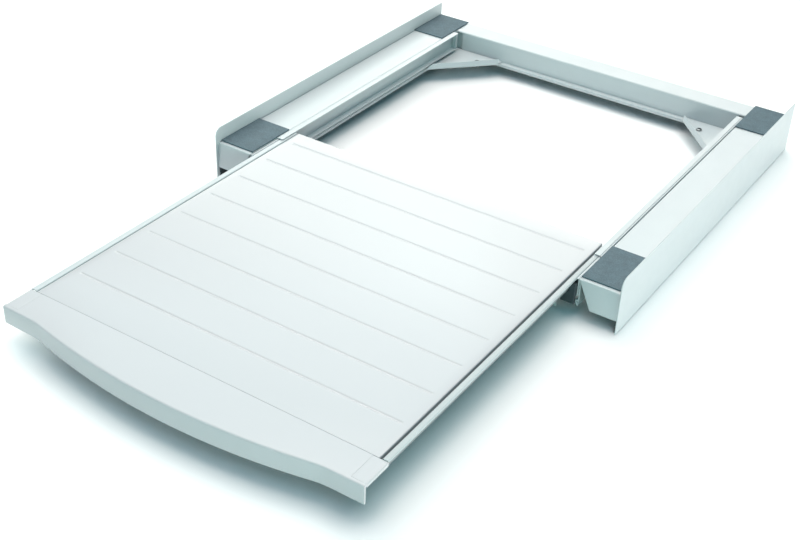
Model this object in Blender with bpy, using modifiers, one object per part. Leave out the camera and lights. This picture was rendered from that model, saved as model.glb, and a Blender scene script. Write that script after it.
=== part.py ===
"""Stacking kit: a frame that stands a tumble dryer on a washing machine, with a pull-out shelf.

X runs across the kit, Y from its front to its back and Z up. Places are worked out in the frame's own
coordinates, with Y zero at the front edge of the side panels, and kit_origin then moves the whole kit so
that the middle of its outline, with the shelf fully out, stands over the world origin. The shelf and what
rides on it hang on shelf_slide. Each roller's own origin is on its axle.
"""
import math

import bmesh
import bpy
from mathutils import Matrix, Vector

# Whole kit
KIT_WIDTH = 0.610
GAP = 0.0003
OVERRUN = 0.003
WELD_DISTANCE = 0.00001
ROUND_SIDES = 24
SMALL_SIDES = 16
FOLD_STEPS = 2
FOLD_RADIUS_SHARE = 1.0

# Side panels
PANEL_LENGTH = 0.574
PANEL_TOP = 0.0767
PANEL_LIFT = 0.001
PANEL_SHEET = 0.0015
PANEL_CORNER = 0.012
CORNER_STEPS = 5

# Rails
RAIL_TOP = 0.055
RAIL_WIDTH = 0.0547
RAIL_SHEET = 0.0015
RAIL_SETBACK = 0.0024
RAIL_FLOOR = 0.018
RAIL_FLOOR_WIDTH = 0.0355
RAIL_WALL_LIFT = 0.0032
TAB_INSET = 0.0001
LEDGE_LIFT = 0.0054
LEDGE_SHEET = 0.0015
LEDGE_REACH = 0.0056
LEDGE_START = 0.008

# Pads on the rails and feet under them
TOP_PAD_THICKNESS = 0.0019
TOP_PAD_LENGTH = 0.0817
TOP_PAD_SETBACK = 0.0101
TOP_PAD_REAR_SETBACK = 0.002
TOP_PAD_EDGE = 0.0005
FOOT_WIDTH = 0.0345
FOOT_LENGTH = 0.080
FOOT_SETBACK = 0.0042
FOOT_TONGUE_WIDTH = 0.0025
FOOT_TONGUE_LENGTH = 0.024
FOOT_EDGE = 0.0008

# Rear beam
BEAM_REAR_SETBACK = 0.002
BEAM_DEPTH = 0.0369
BEAM_SHEET = 0.0015
BEAM_LIFT = 0.003
BEAM_FLANGE_REACH = 0.0128

# Front bar
BAR_START = 0.008
BAR_DEPTH = 0.03075
BAR_SHEET = 0.0015
BAR_LIFT = 0.003
BAR_RETURN = 0.0114

# Corner gussets
GUSSET_SHEET = 0.0012
GUSSET_ALONG_BEAM = 0.0888
GUSSET_ALONG_RAIL = 0.1041
GUSSET_BEAM_EDGE = 0.0155
GUSSET_RAIL_EDGE = 0.0064
GUSSET_LIP = 0.0075
GUSSET_LIP_LEAN = 0.0055
GUSSET_LIP_BEAM_SHARE = -0.02
GUSSET_LIP_RAIL_SHARE = 0.12
GUSSET_BAR_SHARE = 0.5
GUSSET_SCREW_FROM_RAIL = 0.0570
GUSSET_SCREW_FROM_BEAM = 0.0280

# Fixed runners
RUNNER_SHEET = 0.0012
RUNNER_PROUD = 0.0014
RUNNER_REACH = 0.0096
RUNNER_START = 0.006
RUNNER_END_CLEARANCE = 0.0121
RUNNER_TOP_START = 0.0633
RUNNER_FRONT_DROP = 0.0021
RUNNER_SCREW_SHARES = (0.18, 0.55, 0.92)
RUNNER_SCREW_DROP = 0.0064
CAP_DEPTH = 0.0051
CAP_LIFT = 0.002
CAP_REACH = 0.018
CAP_POST_CLEARANCE = 0.0009
CAP_TOP_CLEARANCE = 0.0005
STOP_LENGTH = 0.0059
STOP_HEIGHT = 0.0055
STOP_WIDTH = 0.0064
END_STOP_LENGTH = 0.0053

# Rollers and their pins
ROLLER_RADIUS = 0.0083
ROLLER_EDGE = 0.0006
ROLLER_BORE = 0.0025
FRONT_ROLLER_PLACE = 0.016
FRONT_ROLLER_WIDTH = 0.0038
REAR_ROLLER_PLACE = 0.084
REAR_ROLLER_WIDTH = 0.006
ROLLER_FLOOR_CLEARANCE = 0.0051
PIN_RADIUS = 0.0022
PIN_COLLAR_RADIUS = 0.0034
PIN_COLLAR = 0.0006
ROLLER_SIDE_CLEARANCE = 0.0003

# Moving runners
STRIP_CLEARANCE = 0.0008
STRIP_WIDTH = 0.0082
LIP_CLEARANCE = 0.0007
MOVING_WALL_GAP = 0.0028
SHELF_FLANGE_LIFT = 0.0048
SHELF_FLANGE_REACH = 0.0185
MOVING_RUNNER_END = 0.093

# Shelf panel
SHELF_DROP = 0.0012
SHELF_SHEET = 0.0025
SHELF_SIDE_GAP = 0.0013
SHELF_REAR = 0.0953
SHELF_SEAM = -0.387
SEAM_GAP = 0.0006
GROOVE_COUNT = 8
GROOVE_WIDTH = 0.0022
GROOVE_DEPTH = 0.0008
GROOVE_END = 0.0104
GROOVE_LAST_SHARE = 0.5

# Shelf front
FRONT_EDGE = -0.4286
FRONT_BULGE = 0.0204
FRONT_END_EASE = 0.0004
FRONT_RADIUS = 0.942
FRONT_FILLET = 0.120
FRONT_FILLET_STEPS = 4
FRONT_ARC_STEPS = 16
FRONT_DEPTH = 0.0233
FRONT_SHEET = 0.0025
FRONT_LEAN = 0.003
FRONT_OVERHANG = 0.001
BOSS_WIDTH = 0.0145
BOSS_LENGTH = 0.022
BOSS_CLEARANCE = 0.006
BOSS_OVERLAP = 0.0008
CORNER_CAP_WIDTH = 0.0185
CORNER_CAP_SETBACK = 0.0049
CAP_WEB_CLEARANCE = 0.0005

# Bars under the shelf
SHELF_BAR_WIDTH = 0.0315
SHELF_BAR_SHEET = 0.0012
SHELF_BAR_SHARES = (0.22, 0.86)

# Screws
SCREW_RADIUS = 0.0015
SCREW_HEAD_RADIUS = 0.003
SCREW_HEAD = 0.0010
SCREW_LENGTH = 0.007
SHELF_SCREW_HEAD = 0.0020
SHELF_SCREW_IN = 0.0056
GUSSET_SCREW_HEAD_RADIUS = 0.0042
GUSSET_SCREW_HEAD = 0.0024
GUSSET_SCREW_RADIUS = 0.002
GUSSET_SCREW_LENGTH = 0.009

# Side panels and rails, places worked out from the sizes above
panel_outer = KIT_WIDTH / 2
panel_inner = panel_outer - PANEL_SHEET
rail_outer = panel_inner - GAP
rail_inner = panel_inner - RAIL_WIDTH
rail_rear = PANEL_LENGTH - RAIL_SETBACK
ledge_top = RAIL_FLOOR + LEDGE_LIFT
ledge_edge = rail_inner - LEDGE_REACH

# Beam and bar
beam_rear = PANEL_LENGTH - BEAM_REAR_SETBACK
beam_face = beam_rear - BEAM_DEPTH
beam_half = rail_inner - GAP
bar_half = ledge_edge - GAP
bar_rear = BAR_START + BAR_DEPTH
gusset_floor = ledge_top + GAP

# Fixed runners
runner_top = RAIL_TOP + RUNNER_PROUD
runner_outer = rail_inner - GAP
runner_web = runner_outer - RUNNER_SHEET
runner_edge = runner_outer - RUNNER_REACH
runner_roof = runner_top - RUNNER_SHEET
runner_end = beam_face - RUNNER_END_CLEARANCE

# Moving runners and rollers
strip_top = runner_roof - STRIP_CLEARANCE
strip_under = strip_top - RUNNER_SHEET
front_roller_height = strip_under - GAP - ROLLER_RADIUS
channel_floor = front_roller_height - ROLLER_RADIUS - ROLLER_FLOOR_CLEARANCE
rear_roller_height = channel_floor + GAP + ROLLER_RADIUS
lip_bottom = rear_roller_height + ROLLER_RADIUS + LIP_CLEARANCE
strip_outer = runner_web - MOVING_WALL_GAP
moving_web_inner = strip_outer - STRIP_WIDTH
moving_web_outer = moving_web_inner + RUNNER_SHEET
flange_under = channel_floor + SHELF_FLANGE_LIFT
flange_top = flange_under + RUNNER_SHEET
flange_edge = moving_web_outer - SHELF_FLANGE_REACH
shelf_screw_place = (flange_edge + moving_web_inner) / 2 - SCREW_HEAD_RADIUS

# Shelf
shelf_half = moving_web_inner - SHELF_SIDE_GAP
shelf_top = strip_top - SHELF_DROP
shelf_under = shelf_top - SHELF_SHEET
panel_front = SHELF_SEAM + SEAM_GAP / 2
front_rear = SHELF_SEAM - SEAM_GAP / 2
groove_pitch = (SHELF_REAR - SHELF_SEAM) / (GROOVE_COUNT + GROOVE_LAST_SHARE)
front_half = strip_outer + FRONT_OVERHANG
front_bottom = shelf_top - FRONT_DEPTH
corner_cap_front = FRONT_EDGE + CORNER_CAP_SETBACK
corner_cap_inner = front_half - CORNER_CAP_WIDTH
moving_front = corner_cap_front - GAP
boss_rear = front_rear - BOSS_CLEARANCE
boss_middle = boss_rear - BOSS_LENGTH / 2
panel_length = SHELF_REAR - panel_front
shelf_bar_places = [panel_front + share * panel_length for share in SHELF_BAR_SHARES]
runner_length = runner_end - RUNNER_START
runner_screw_places = [RUNNER_START + share * runner_length for share in RUNNER_SCREW_SHARES]
runner_screw_height = runner_top - RUNNER_SCREW_DROP

SIDES = (("left", -1), ("right", 1))
TURNS = {
    "Z": Matrix.Identity(4),
    "Y": Matrix.Rotation(math.pi / 2, 4, "X"),
    "X": Matrix.Rotation(math.pi / 2, 4, "Z") @ Matrix.Rotation(math.pi / 2, 4, "X"),
}
AXES = {"X": Vector((1, 0, 0)), "Y": Vector((0, 1, 0)), "Z": Vector((0, 0, 1))}


def clear_scene():
    """Remove every object that the file opened with."""
    for old in list(bpy.data.objects):
        bpy.data.objects.remove(old, do_unlink=True)


def new_collection(name):
    """Make a collection in the scene."""
    made = bpy.data.collections.new(name)
    bpy.context.scene.collection.children.link(made)
    return made


def new_finish(name, colour, roughness, metallic=0.0):
    """Make a material with one colour, roughness and metallic value."""
    finish = bpy.data.materials.new(name)
    finish.use_nodes = True
    shader = finish.node_tree.nodes["Principled BSDF"]
    shader.inputs["Base Color"].default_value = (*colour, 1.0)
    shader.inputs["Roughness"].default_value = roughness
    shader.inputs["Metallic"].default_value = metallic
    finish.diffuse_color = (*colour, 1.0)
    return finish


def new_guide(name, place, parent=None):
    """Make an empty that others hang on."""
    guide = bpy.data.objects.new(name, None)
    guide.location = place
    guide.parent = parent
    guides.objects.link(guide)
    return guide


def add_piece(name, mesh, finish, parent, matrix=None):
    """Put a mesh in the kit as one named piece."""
    piece = bpy.data.objects.new(name, mesh)
    mesh.materials.append(finish)
    kit.objects.link(piece)
    piece.parent = parent
    if matrix is not None:
        piece.matrix_local = matrix
    return piece


def add_cutter(name, mesh, parent, matrix=None):
    """Put a mesh with the cutters, as a wire that is not rendered."""
    cutter = bpy.data.objects.new(name, mesh)
    cutters.objects.link(cutter)
    cutter.parent = parent
    cutter.hide_render = True
    cutter.display_type = "WIRE"
    if matrix is not None:
        cutter.matrix_local = matrix
    return cutter


def combine(piece, other, operation):
    """Cut a piece with another mesh, or join the other mesh to it."""
    step = piece.modifiers.new(other.name, "BOOLEAN")
    step.operation = operation
    step.solver = "EXACT"
    step.object = other


def finish_mesh(mesh):
    """Weld a mesh's loose caps and turn its faces outwards."""
    work = bmesh.new()
    work.from_mesh(mesh)
    bmesh.ops.remove_doubles(work, verts=work.verts, dist=WELD_DISTANCE)
    bmesh.ops.recalc_face_normals(work, faces=work.faces)
    work.to_mesh(mesh)
    work.free()


def outline_mesh(name, outline, length):
    """Extrude a closed flat outline, as a filled 2D curve, into a mesh centred on its middle."""
    curve = bpy.data.curves.new(name, "CURVE")
    curve.dimensions = "2D"
    curve.fill_mode = "BOTH"
    curve.extrude = length / 2
    spline = curve.splines.new("POLY")
    spline.points.add(len(outline) - 1)
    for point, (across, up) in zip(spline.points, outline):
        point.co = (across, up, 0, 1)
    spline.use_cyclic_u = True
    flat = bpy.data.objects.new(name, curve)
    guides.objects.link(flat)
    bpy.context.view_layer.update()
    mesh = bpy.data.meshes.new_from_object(flat.evaluated_get(bpy.context.evaluated_depsgraph_get()))
    mesh.name = name
    bpy.data.objects.remove(flat, do_unlink=True)
    finish_mesh(mesh)
    return mesh


def outline_matrix(axis, low, high):
    """Matrix that lays a flat outline across an axis, between two places along it.

    The outline's points are (x, y) for Z, (x, z) for Y and (y, z) for X.
    """
    return Matrix.Translation(AXES[axis] * ((low + high) / 2)) @ TURNS[axis]


def extruded(name, outline, axis, low, high, finish, parent):
    """Add a piece with a flat outline, from low to high along an axis."""
    mesh = outline_mesh(name, outline, high - low)
    return add_piece(name, mesh, finish, parent, outline_matrix(axis, low, high))


def extruded_cutter(name, outline, axis, low, high, parent):
    """Add a cutter with a flat outline, from low to high along an axis."""
    mesh = outline_mesh(name, outline, high - low)
    return add_cutter(name, mesh, parent, outline_matrix(axis, low, high))


def boxes_mesh(name, boxes):
    """Mesh of boxes, each given by two opposite corners."""
    work = bmesh.new()
    for first, second in boxes:
        first = Vector(first)
        second = Vector(second)
        size = [abs(extent) for extent in second - first]
        matrix = Matrix.Translation((first + second) / 2) @ Matrix.Diagonal((*size, 1))
        bmesh.ops.create_cube(work, size=1, matrix=matrix)
    mesh = bpy.data.meshes.new(name)
    work.to_mesh(mesh)
    work.free()
    return mesh


def rods_mesh(name, places, axis, radius, low, high):
    """Mesh of equal rods along an axis, through places given as points."""
    work = bmesh.new()
    lay = TURNS[axis]
    for place in places:
        middle = Vector(place)
        middle += AXES[axis] * ((low + high) / 2 - middle.dot(AXES[axis]))
        bmesh.ops.create_cone(work, cap_ends=True, segments=SMALL_SIDES, radius1=radius, radius2=radius,
                              depth=high - low, matrix=Matrix.Translation(middle) @ lay)
    mesh = bpy.data.meshes.new(name)
    work.to_mesh(mesh)
    work.free()
    return mesh


def drill(piece, places, axis, radius, low, high, parent):
    """Drill equal holes through a piece."""
    mesh = rods_mesh(piece.name + "_drill", places, axis, radius, low, high)
    combine(piece, add_cutter(piece.name + "_drill", mesh, parent), "DIFFERENCE")


def turned(name, profile, place, direction, sides, finish, parent, closed=False):
    """Add a round piece: a profile of (radius, height) points turned about its own upright axis.

    The profile runs down the piece's outer side. The axis is then laid along the given direction.
    """
    mesh = bpy.data.meshes.new(name)
    edges = [(index, index + 1) for index in range(len(profile) - 1)]
    if closed:
        edges.append((len(profile) - 1, 0))
    mesh.from_pydata([(radius, 0, height) for radius, height in profile], edges, [])
    lay = AXES["Z"].rotation_difference(Vector(direction)).to_matrix().to_4x4()
    piece = add_piece(name, mesh, finish, parent, Matrix.Translation(place) @ lay)
    turn = piece.modifiers.new("turn", "SCREW")
    turn.axis = "Z"
    turn.angle = 2 * math.pi
    turn.steps = sides
    turn.render_steps = sides
    turn.use_merge_vertices = True
    turn.merge_threshold = WELD_DISTANCE
    turn.use_smooth_shade = True
    return piece


def soften(piece, width, segments=1):
    """Bevel a piece's edges."""
    edge = piece.modifiers.new("soft edges", "BEVEL")
    edge.width = width
    edge.segments = segments
    edge.limit_method = "ANGLE"


def left_of(direction):
    """The direction a quarter turn to the left in the outline's plane."""
    return Vector((-direction.y, direction.x))


def folded_outline(corners, sheet, side=1):
    """Closed outline of a folded sheet whose middle line runs through the corners.

    Each fold is an arc. A side of -1 mirrors the first coordinate.
    """
    line = [Vector(corner) for corner in corners]
    radius = sheet * FOLD_RADIUS_SHARE
    stations = [(line[0], (line[1] - line[0]).normalized())]
    for before, corner, after in zip(line, line[1:], line[2:]):
        inward = (corner - before).normalized()
        outward = (after - corner).normalized()
        turn = math.atan2(inward.cross(outward), inward.dot(outward))
        hand = math.copysign(1, turn)
        start = corner - inward * radius * math.tan(abs(turn) / 2)
        centre = start + left_of(inward) * hand * radius
        for step in range(FOLD_STEPS + 1):
            ahead = Matrix.Rotation(turn * step / FOLD_STEPS, 2) @ inward
            stations.append((centre - left_of(ahead) * hand * radius, ahead))
    stations.append((line[-1], (line[-1] - line[-2]).normalized()))
    upper = [point + left_of(ahead) * sheet / 2 for point, ahead in stations]
    lower = [point - left_of(ahead) * sheet / 2 for point, ahead in stations]
    return [(side * point.x, point.y) for point in upper + lower[::-1]]


def mirrored(outline, side):
    """An outline with its first coordinate times the side."""
    return [(side * across, up) for across, up in outline]


def add_side_panel(label, side):
    """Tall outer sheet with a round front top corner."""
    centre = Vector((PANEL_CORNER, PANEL_TOP - PANEL_CORNER))
    outline = [(0, PANEL_LIFT), (PANEL_LENGTH, PANEL_LIFT), (PANEL_LENGTH, PANEL_TOP)]
    for step in range(CORNER_STEPS + 1):
        angle = math.pi / 2 * (1 + step / CORNER_STEPS)
        outline.append(tuple(centre + PANEL_CORNER * Vector((math.cos(angle), math.sin(angle)))))
    extruded("side_panel_" + label, outline, "X", side * panel_inner if side > 0 else side * panel_outer,
             side * panel_outer if side > 0 else side * panel_inner, white_enamel, origin)


def add_rail(label, side):
    """Folded hollow rail with closed, tapered ends and a low inner ledge."""
    half = RAIL_SHEET / 2
    corners = [(rail_outer - RAIL_FLOOR_WIDTH, RAIL_FLOOR + half), (rail_outer - half, RAIL_FLOOR + half),
               (rail_outer - half, RAIL_TOP - half), (rail_inner + half, RAIL_TOP - half),
               (rail_inner + half, RAIL_FLOOR + RAIL_WALL_LIFT)]
    name = "rail_" + label
    rail = extruded(name, folded_outline(corners, RAIL_SHEET, side), "Y", RAIL_SETBACK + half,
                    rail_rear - half, white_enamel, origin)
    high = RAIL_TOP - TAB_INSET
    low = RAIL_FLOOR + TAB_INSET
    end = mirrored([(rail_inner + TAB_INSET, high), (rail_outer - TAB_INSET, high),
                    (rail_outer - TAB_INSET, low), (rail_outer - RAIL_FLOOR_WIDTH, low)], side)
    for place, start in (("front", RAIL_SETBACK), ("rear", rail_rear - RAIL_SHEET)):
        tab = extruded_cutter(f"{name}_{place}_end", end, "Y", start, start + RAIL_SHEET, origin)
        combine(rail, tab, "UNION")
    ledge = boxes_mesh(name + "_ledge", [((side * ledge_edge, LEDGE_START, ledge_top - LEDGE_SHEET),
                                          (side * (rail_inner + half), beam_face - GAP, ledge_top))])
    combine(rail, add_cutter(name + "_ledge", ledge, origin), "UNION")
    drill(rail, [(0, place, runner_screw_height) for place in runner_screw_places], "X",
          SCREW_RADIUS + GAP, min(side * (rail_inner - OVERRUN), side * (rail_inner + OVERRUN)),
          max(side * (rail_inner - OVERRUN), side * (rail_inner + OVERRUN)), origin)


def add_pads(label, side):
    """Two thin pads on a rail, and two feet under it with a tongue along the panel to the rail's end."""
    low = RAIL_TOP + GAP
    rear = PANEL_LENGTH - TOP_PAD_REAR_SETBACK
    for place, start in (("front", TOP_PAD_SETBACK), ("rear", rear - TOP_PAD_LENGTH)):
        name = f"top_pad_{place}_{label}"
        mesh = boxes_mesh(name, [((side * rail_inner, start, low),
                                  (side * rail_outer, start + TOP_PAD_LENGTH, low + TOP_PAD_THICKNESS))])
        soften(add_piece(name, mesh, pad_foam, origin), TOP_PAD_EDGE)
    outer = rail_outer - GAP
    for place, tip, toward in (("front", FOOT_SETBACK, 1), ("rear", PANEL_LENGTH - FOOT_SETBACK, -1)):
        shoulder = tip + toward * FOOT_TONGUE_LENGTH
        end = tip + toward * FOOT_LENGTH
        outline = mirrored([(outer, tip), (outer, end), (outer - FOOT_WIDTH, end),
                            (outer - FOOT_WIDTH, shoulder), (outer - FOOT_TONGUE_WIDTH, shoulder),
                            (outer - FOOT_TONGUE_WIDTH, tip)], side)
        foot = extruded(f"foot_pad_{place}_{label}", outline, "Z", 0, RAIL_FLOOR - GAP, dark_rubber, origin)
        soften(foot, FOOT_EDGE)


def add_rear_beam():
    """Folded cross beam: back, top, inner face and a low flange towards the front."""
    half = BEAM_SHEET / 2
    wall = beam_face + half
    corners = [(beam_rear - half, BEAM_LIFT), (beam_rear - half, RAIL_TOP - half),
               (wall, RAIL_TOP - half), (wall, RAIL_FLOOR + RAIL_WALL_LIFT)]
    beam = extruded("rear_beam", folded_outline(corners, BEAM_SHEET), "X", -beam_half, beam_half,
                    white_enamel, origin)
    flange = boxes_mesh("rear_beam_flange", [((-bar_half, beam_face - BEAM_FLANGE_REACH,
                                               ledge_top - LEDGE_SHEET), (bar_half, wall, ledge_top))])
    combine(beam, add_cutter("rear_beam_flange", flange, origin), "UNION")


def add_front_bar():
    """Low folded bar across the front, under the shelf's path."""
    half = BAR_SHEET / 2
    corners = [(BAR_START + half, BAR_LIFT), (BAR_START + half, ledge_top - half),
               (bar_rear - half, ledge_top - half), (bar_rear - half, ledge_top - BAR_RETURN)]
    extruded("front_bar", folded_outline(corners, BAR_SHEET), "X", -bar_half, bar_half, white_enamel, origin)


def add_gusset(label, side, place, base, toward):
    """Corner plate with a lip up its diagonal that leans to the corner, and its screw.

    The base is the face that the plate starts from and toward is the way along Y to the opening.
    """
    def spot(from_rail, from_base, height):
        return (side * (rail_inner - from_rail), base + toward * from_base, height)

    name = f"corner_gusset_{place}_{label}"
    level = gusset_floor + GUSSET_SHEET / 2
    lip_top = gusset_floor + GUSSET_SHEET + GUSSET_LIP
    near = Vector((GUSSET_ALONG_BEAM, GUSSET_BEAM_EDGE))
    far = Vector((GUSSET_RAIL_EDGE, GUSSET_ALONG_RAIL))
    lean = left_of((near - far).normalized()) * GUSSET_LIP_LEAN
    near_top = near.lerp(far, GUSSET_LIP_BEAM_SHARE) - lean
    far_top = far.lerp(near, GUSSET_LIP_RAIL_SHARE) - lean
    work = bmesh.new()
    floor = [work.verts.new(spot(along, out, level)) for along, out in (
        (GAP, GAP), (GUSSET_ALONG_BEAM, GAP), near, far, (GAP, GUSSET_ALONG_RAIL))]
    lip = [work.verts.new(spot(*corner, lip_top)) for corner in (near_top, far_top)]
    work.faces.new(floor)
    work.faces.new((floor[3], floor[2], lip[0], lip[1]))
    bmesh.ops.recalc_face_normals(work, faces=work.faces)
    mesh = bpy.data.meshes.new(name)
    work.to_mesh(mesh)
    work.free()
    gusset = add_piece(name, mesh, white_enamel, origin)
    shell = gusset.modifiers.new("sheet", "SOLIDIFY")
    shell.thickness = GUSSET_SHEET
    shell.offset = 0
    shell.solidify_mode = "NON_MANIFOLD"
    shell.nonmanifold_thickness_mode = "CONSTRAINTS"
    place_of_screw = Vector(spot(GUSSET_SCREW_FROM_RAIL, GUSSET_SCREW_FROM_BEAM, 0))
    drill(gusset, [place_of_screw], "Z", GUSSET_SCREW_RADIUS + GAP, gusset_floor - OVERRUN,
          gusset_floor + OVERRUN, origin)
    place_of_screw.z = gusset_floor + GUSSET_SHEET + GAP
    add_screw(f"gusset_screw_{place}_{label}", place_of_screw, AXES["Z"], GUSSET_SCREW_HEAD_RADIUS,
              GUSSET_SCREW_HEAD, GUSSET_SCREW_RADIUS, GUSSET_SCREW_LENGTH, origin)


def add_screw(name, seat, out, head_radius, head, radius, length, parent):
    """Pan head screw: its head stands out of the seat and its shank runs into it."""
    shoulder = head / 2
    profile = [(0, head), (head_radius - shoulder, head), (head_radius, shoulder), (head_radius, 0),
               (radius, 0), (radius, -length), (0, -length)]
    turned(name, profile, seat, out, SMALL_SIDES, zinc, parent)


def add_fixed_runner(label, side):
    """Channel on the rail's inner wall, with its screws, front cap and stops."""
    half = RUNNER_SHEET / 2
    name = "fixed_runner_" + label
    floor = channel_floor - RUNNER_SHEET
    corners = [(runner_edge, floor + half), (runner_outer - half, floor + half),
               (runner_outer - half, runner_top - half), (runner_edge, runner_top - half)]
    runner = extruded(name, folded_outline(corners, RUNNER_SHEET, side), "Y", RUNNER_START, runner_end,
                      white_enamel, origin)
    notch = boxes_mesh(name + "_notch", [((side * (runner_edge - OVERRUN), RUNNER_START - OVERRUN,
                                           runner_top - RUNNER_FRONT_DROP),
                                          (side * (runner_outer + OVERRUN), RUNNER_TOP_START,
                                           runner_top + OVERRUN))])
    combine(runner, add_cutter(name + "_notch", notch, origin), "DIFFERENCE")
    reach = sorted((side * (runner_web - OVERRUN), side * (runner_outer + OVERRUN)))
    drill(runner, [(0, place, runner_screw_height) for place in runner_screw_places], "X",
          SCREW_RADIUS + GAP, *reach, origin)
    for index, place in enumerate(runner_screw_places, start=1):
        add_screw(f"runner_screw_{index}_{label}", (side * (runner_web - GAP), place, runner_screw_height),
                  -side * AXES["X"], SCREW_HEAD_RADIUS, SCREW_HEAD, SCREW_RADIUS, SCREW_LENGTH, origin)
    add_front_cap(label, side)
    stop_outer = runner_web - 2 * GAP
    stop = boxes_mesh("travel_stop_" + label, [
        ((side * stop_outer, travel_stop_rear - STOP_LENGTH, channel_floor + GAP),
         (side * (stop_outer - STOP_WIDTH), travel_stop_rear, channel_floor + GAP + STOP_HEIGHT))])
    add_piece("travel_stop_" + label, stop, dark_plastic, origin)
    end = boxes_mesh("runner_end_stop_" + label, [
        ((side * (runner_edge + GAP), runner_end - END_STOP_LENGTH, channel_floor + GAP),
         (side * (runner_web - GAP), runner_end, runner_roof - GAP))])
    add_piece("runner_end_stop_" + label, end, grey_plastic, origin)


def add_front_cap(label, side):
    """Black stepped block that closes the channel's front end below the moving runner."""
    outer = runner_web - GAP
    post = moving_web_outer + CAP_POST_CLEARANCE
    low = RAIL_FLOOR + CAP_LIFT
    step = flange_under - CAP_TOP_CLEARANCE
    outline = mirrored([(outer - CAP_REACH, low), (outer, low), (outer, lip_bottom - CAP_TOP_CLEARANCE),
                        (post, lip_bottom - CAP_TOP_CLEARANCE), (post, step), (outer - CAP_REACH, step)], side)
    rear = RUNNER_START - GAP
    extruded("runner_front_cap_" + label, outline, "Y", rear - CAP_DEPTH, rear, dark_plastic, origin)


def roller_profile(width):
    """Closed profile of a bored roller with chamfered edges."""
    half = width / 2
    tread = ROLLER_RADIUS - ROLLER_EDGE
    return [(ROLLER_BORE, half), (tread, half), (ROLLER_RADIUS, half - ROLLER_EDGE),
            (ROLLER_RADIUS, ROLLER_EDGE - half), (tread, -half), (ROLLER_BORE, -half)]


def add_pin(name, foot, out, width, collar, parent):
    """Pin that carries a roller of the given width, from its foot to the collar at its free end."""
    inner = collar + ROLLER_SIDE_CLEARANCE
    outer = inner + width + ROLLER_SIDE_CLEARANCE
    profile = [(0, outer + PIN_COLLAR), (PIN_COLLAR_RADIUS, outer + PIN_COLLAR),
               (PIN_COLLAR_RADIUS, outer), (PIN_RADIUS, outer), (PIN_RADIUS, collar),
               (PIN_COLLAR_RADIUS, collar), (PIN_COLLAR_RADIUS, 0), (0, 0)]
    turned(name, profile, foot, out, SMALL_SIDES, zinc, parent)
    return inner + width / 2


def add_rollers(label, side):
    """Front roller on the fixed runner and rear roller on the moving one, with their pins."""
    inward = -side * AXES["X"]
    foot = Vector((side * (runner_web - GAP), FRONT_ROLLER_PLACE, front_roller_height))
    middle = add_pin("front_pin_" + label, foot, inward, FRONT_ROLLER_WIDTH, front_collar, origin)
    turned("front_roller_" + label, roller_profile(FRONT_ROLLER_WIDTH), foot + inward * middle, inward,
           ROUND_SIDES, dark_plastic, origin, closed=True)
    foot = Vector((side * (moving_web_outer + GAP), REAR_ROLLER_PLACE, rear_roller_height))
    middle = add_pin("rear_pin_" + label, foot, -inward, REAR_ROLLER_WIDTH, rear_collar, shelf)
    turned("rear_roller_" + label, roller_profile(REAR_ROLLER_WIDTH), foot - inward * middle, -inward,
           ROUND_SIDES, dark_plastic, shelf, closed=True)


def add_moving_runner(label, side):
    """Runner under the shelf's edge: turned-down strip, web and inner flange."""
    half = RUNNER_SHEET / 2
    name = "moving_runner_" + label
    corners = [(strip_outer - half, lip_bottom), (strip_outer - half, strip_top - half),
               (moving_web_inner + half, strip_top - half), (moving_web_inner + half, flange_under + half),
               (flange_edge, flange_under + half)]
    runner = extruded(name, folded_outline(corners, RUNNER_SHEET, side), "Y", moving_front,
                      MOVING_RUNNER_END, white_enamel, shelf)
    low = strip_under - GAP
    side_of_web = moving_web_outer + CAP_WEB_CLEARANCE
    beyond = strip_outer + OVERRUN
    notch = mirrored([(moving_web_inner - OVERRUN, low), (side_of_web, low),
                      (side_of_web, lip_bottom - OVERRUN), (beyond, lip_bottom - OVERRUN),
                      (beyond, strip_top + OVERRUN), (moving_web_inner - OVERRUN, strip_top + OVERRUN)], side)
    combine(runner, extruded_cutter(name + "_notch", notch, "Y", moving_front - OVERRUN, panel_front, shelf),
            "DIFFERENCE")
    places = [(side * shelf_screw_place, place, 0) for place in (boss_middle, *shelf_bar_places)]
    drill(runner, places, "Z", SCREW_RADIUS + GAP, flange_under - OVERRUN, flange_top + OVERRUN, shelf)
    for index, place in enumerate(places, start=1):
        seat = Vector(place)
        seat.z = flange_under - GAP
        add_screw(f"shelf_screw_{index}_{label}", seat, -AXES["Z"], SCREW_HEAD_RADIUS, SHELF_SCREW_HEAD,
                  SCREW_RADIUS, SHELF_SCREW_IN, shelf)
    cap = [(front_half - half, lip_bottom), (front_half - half, strip_top - half),
           (corner_cap_inner, strip_top - half)]
    extruded("shelf_corner_cap_" + label, folded_outline(cap, RUNNER_SHEET, side), "Y", corner_cap_front,
             front_rear + GAP / 2, white_plastic, shelf)


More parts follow.
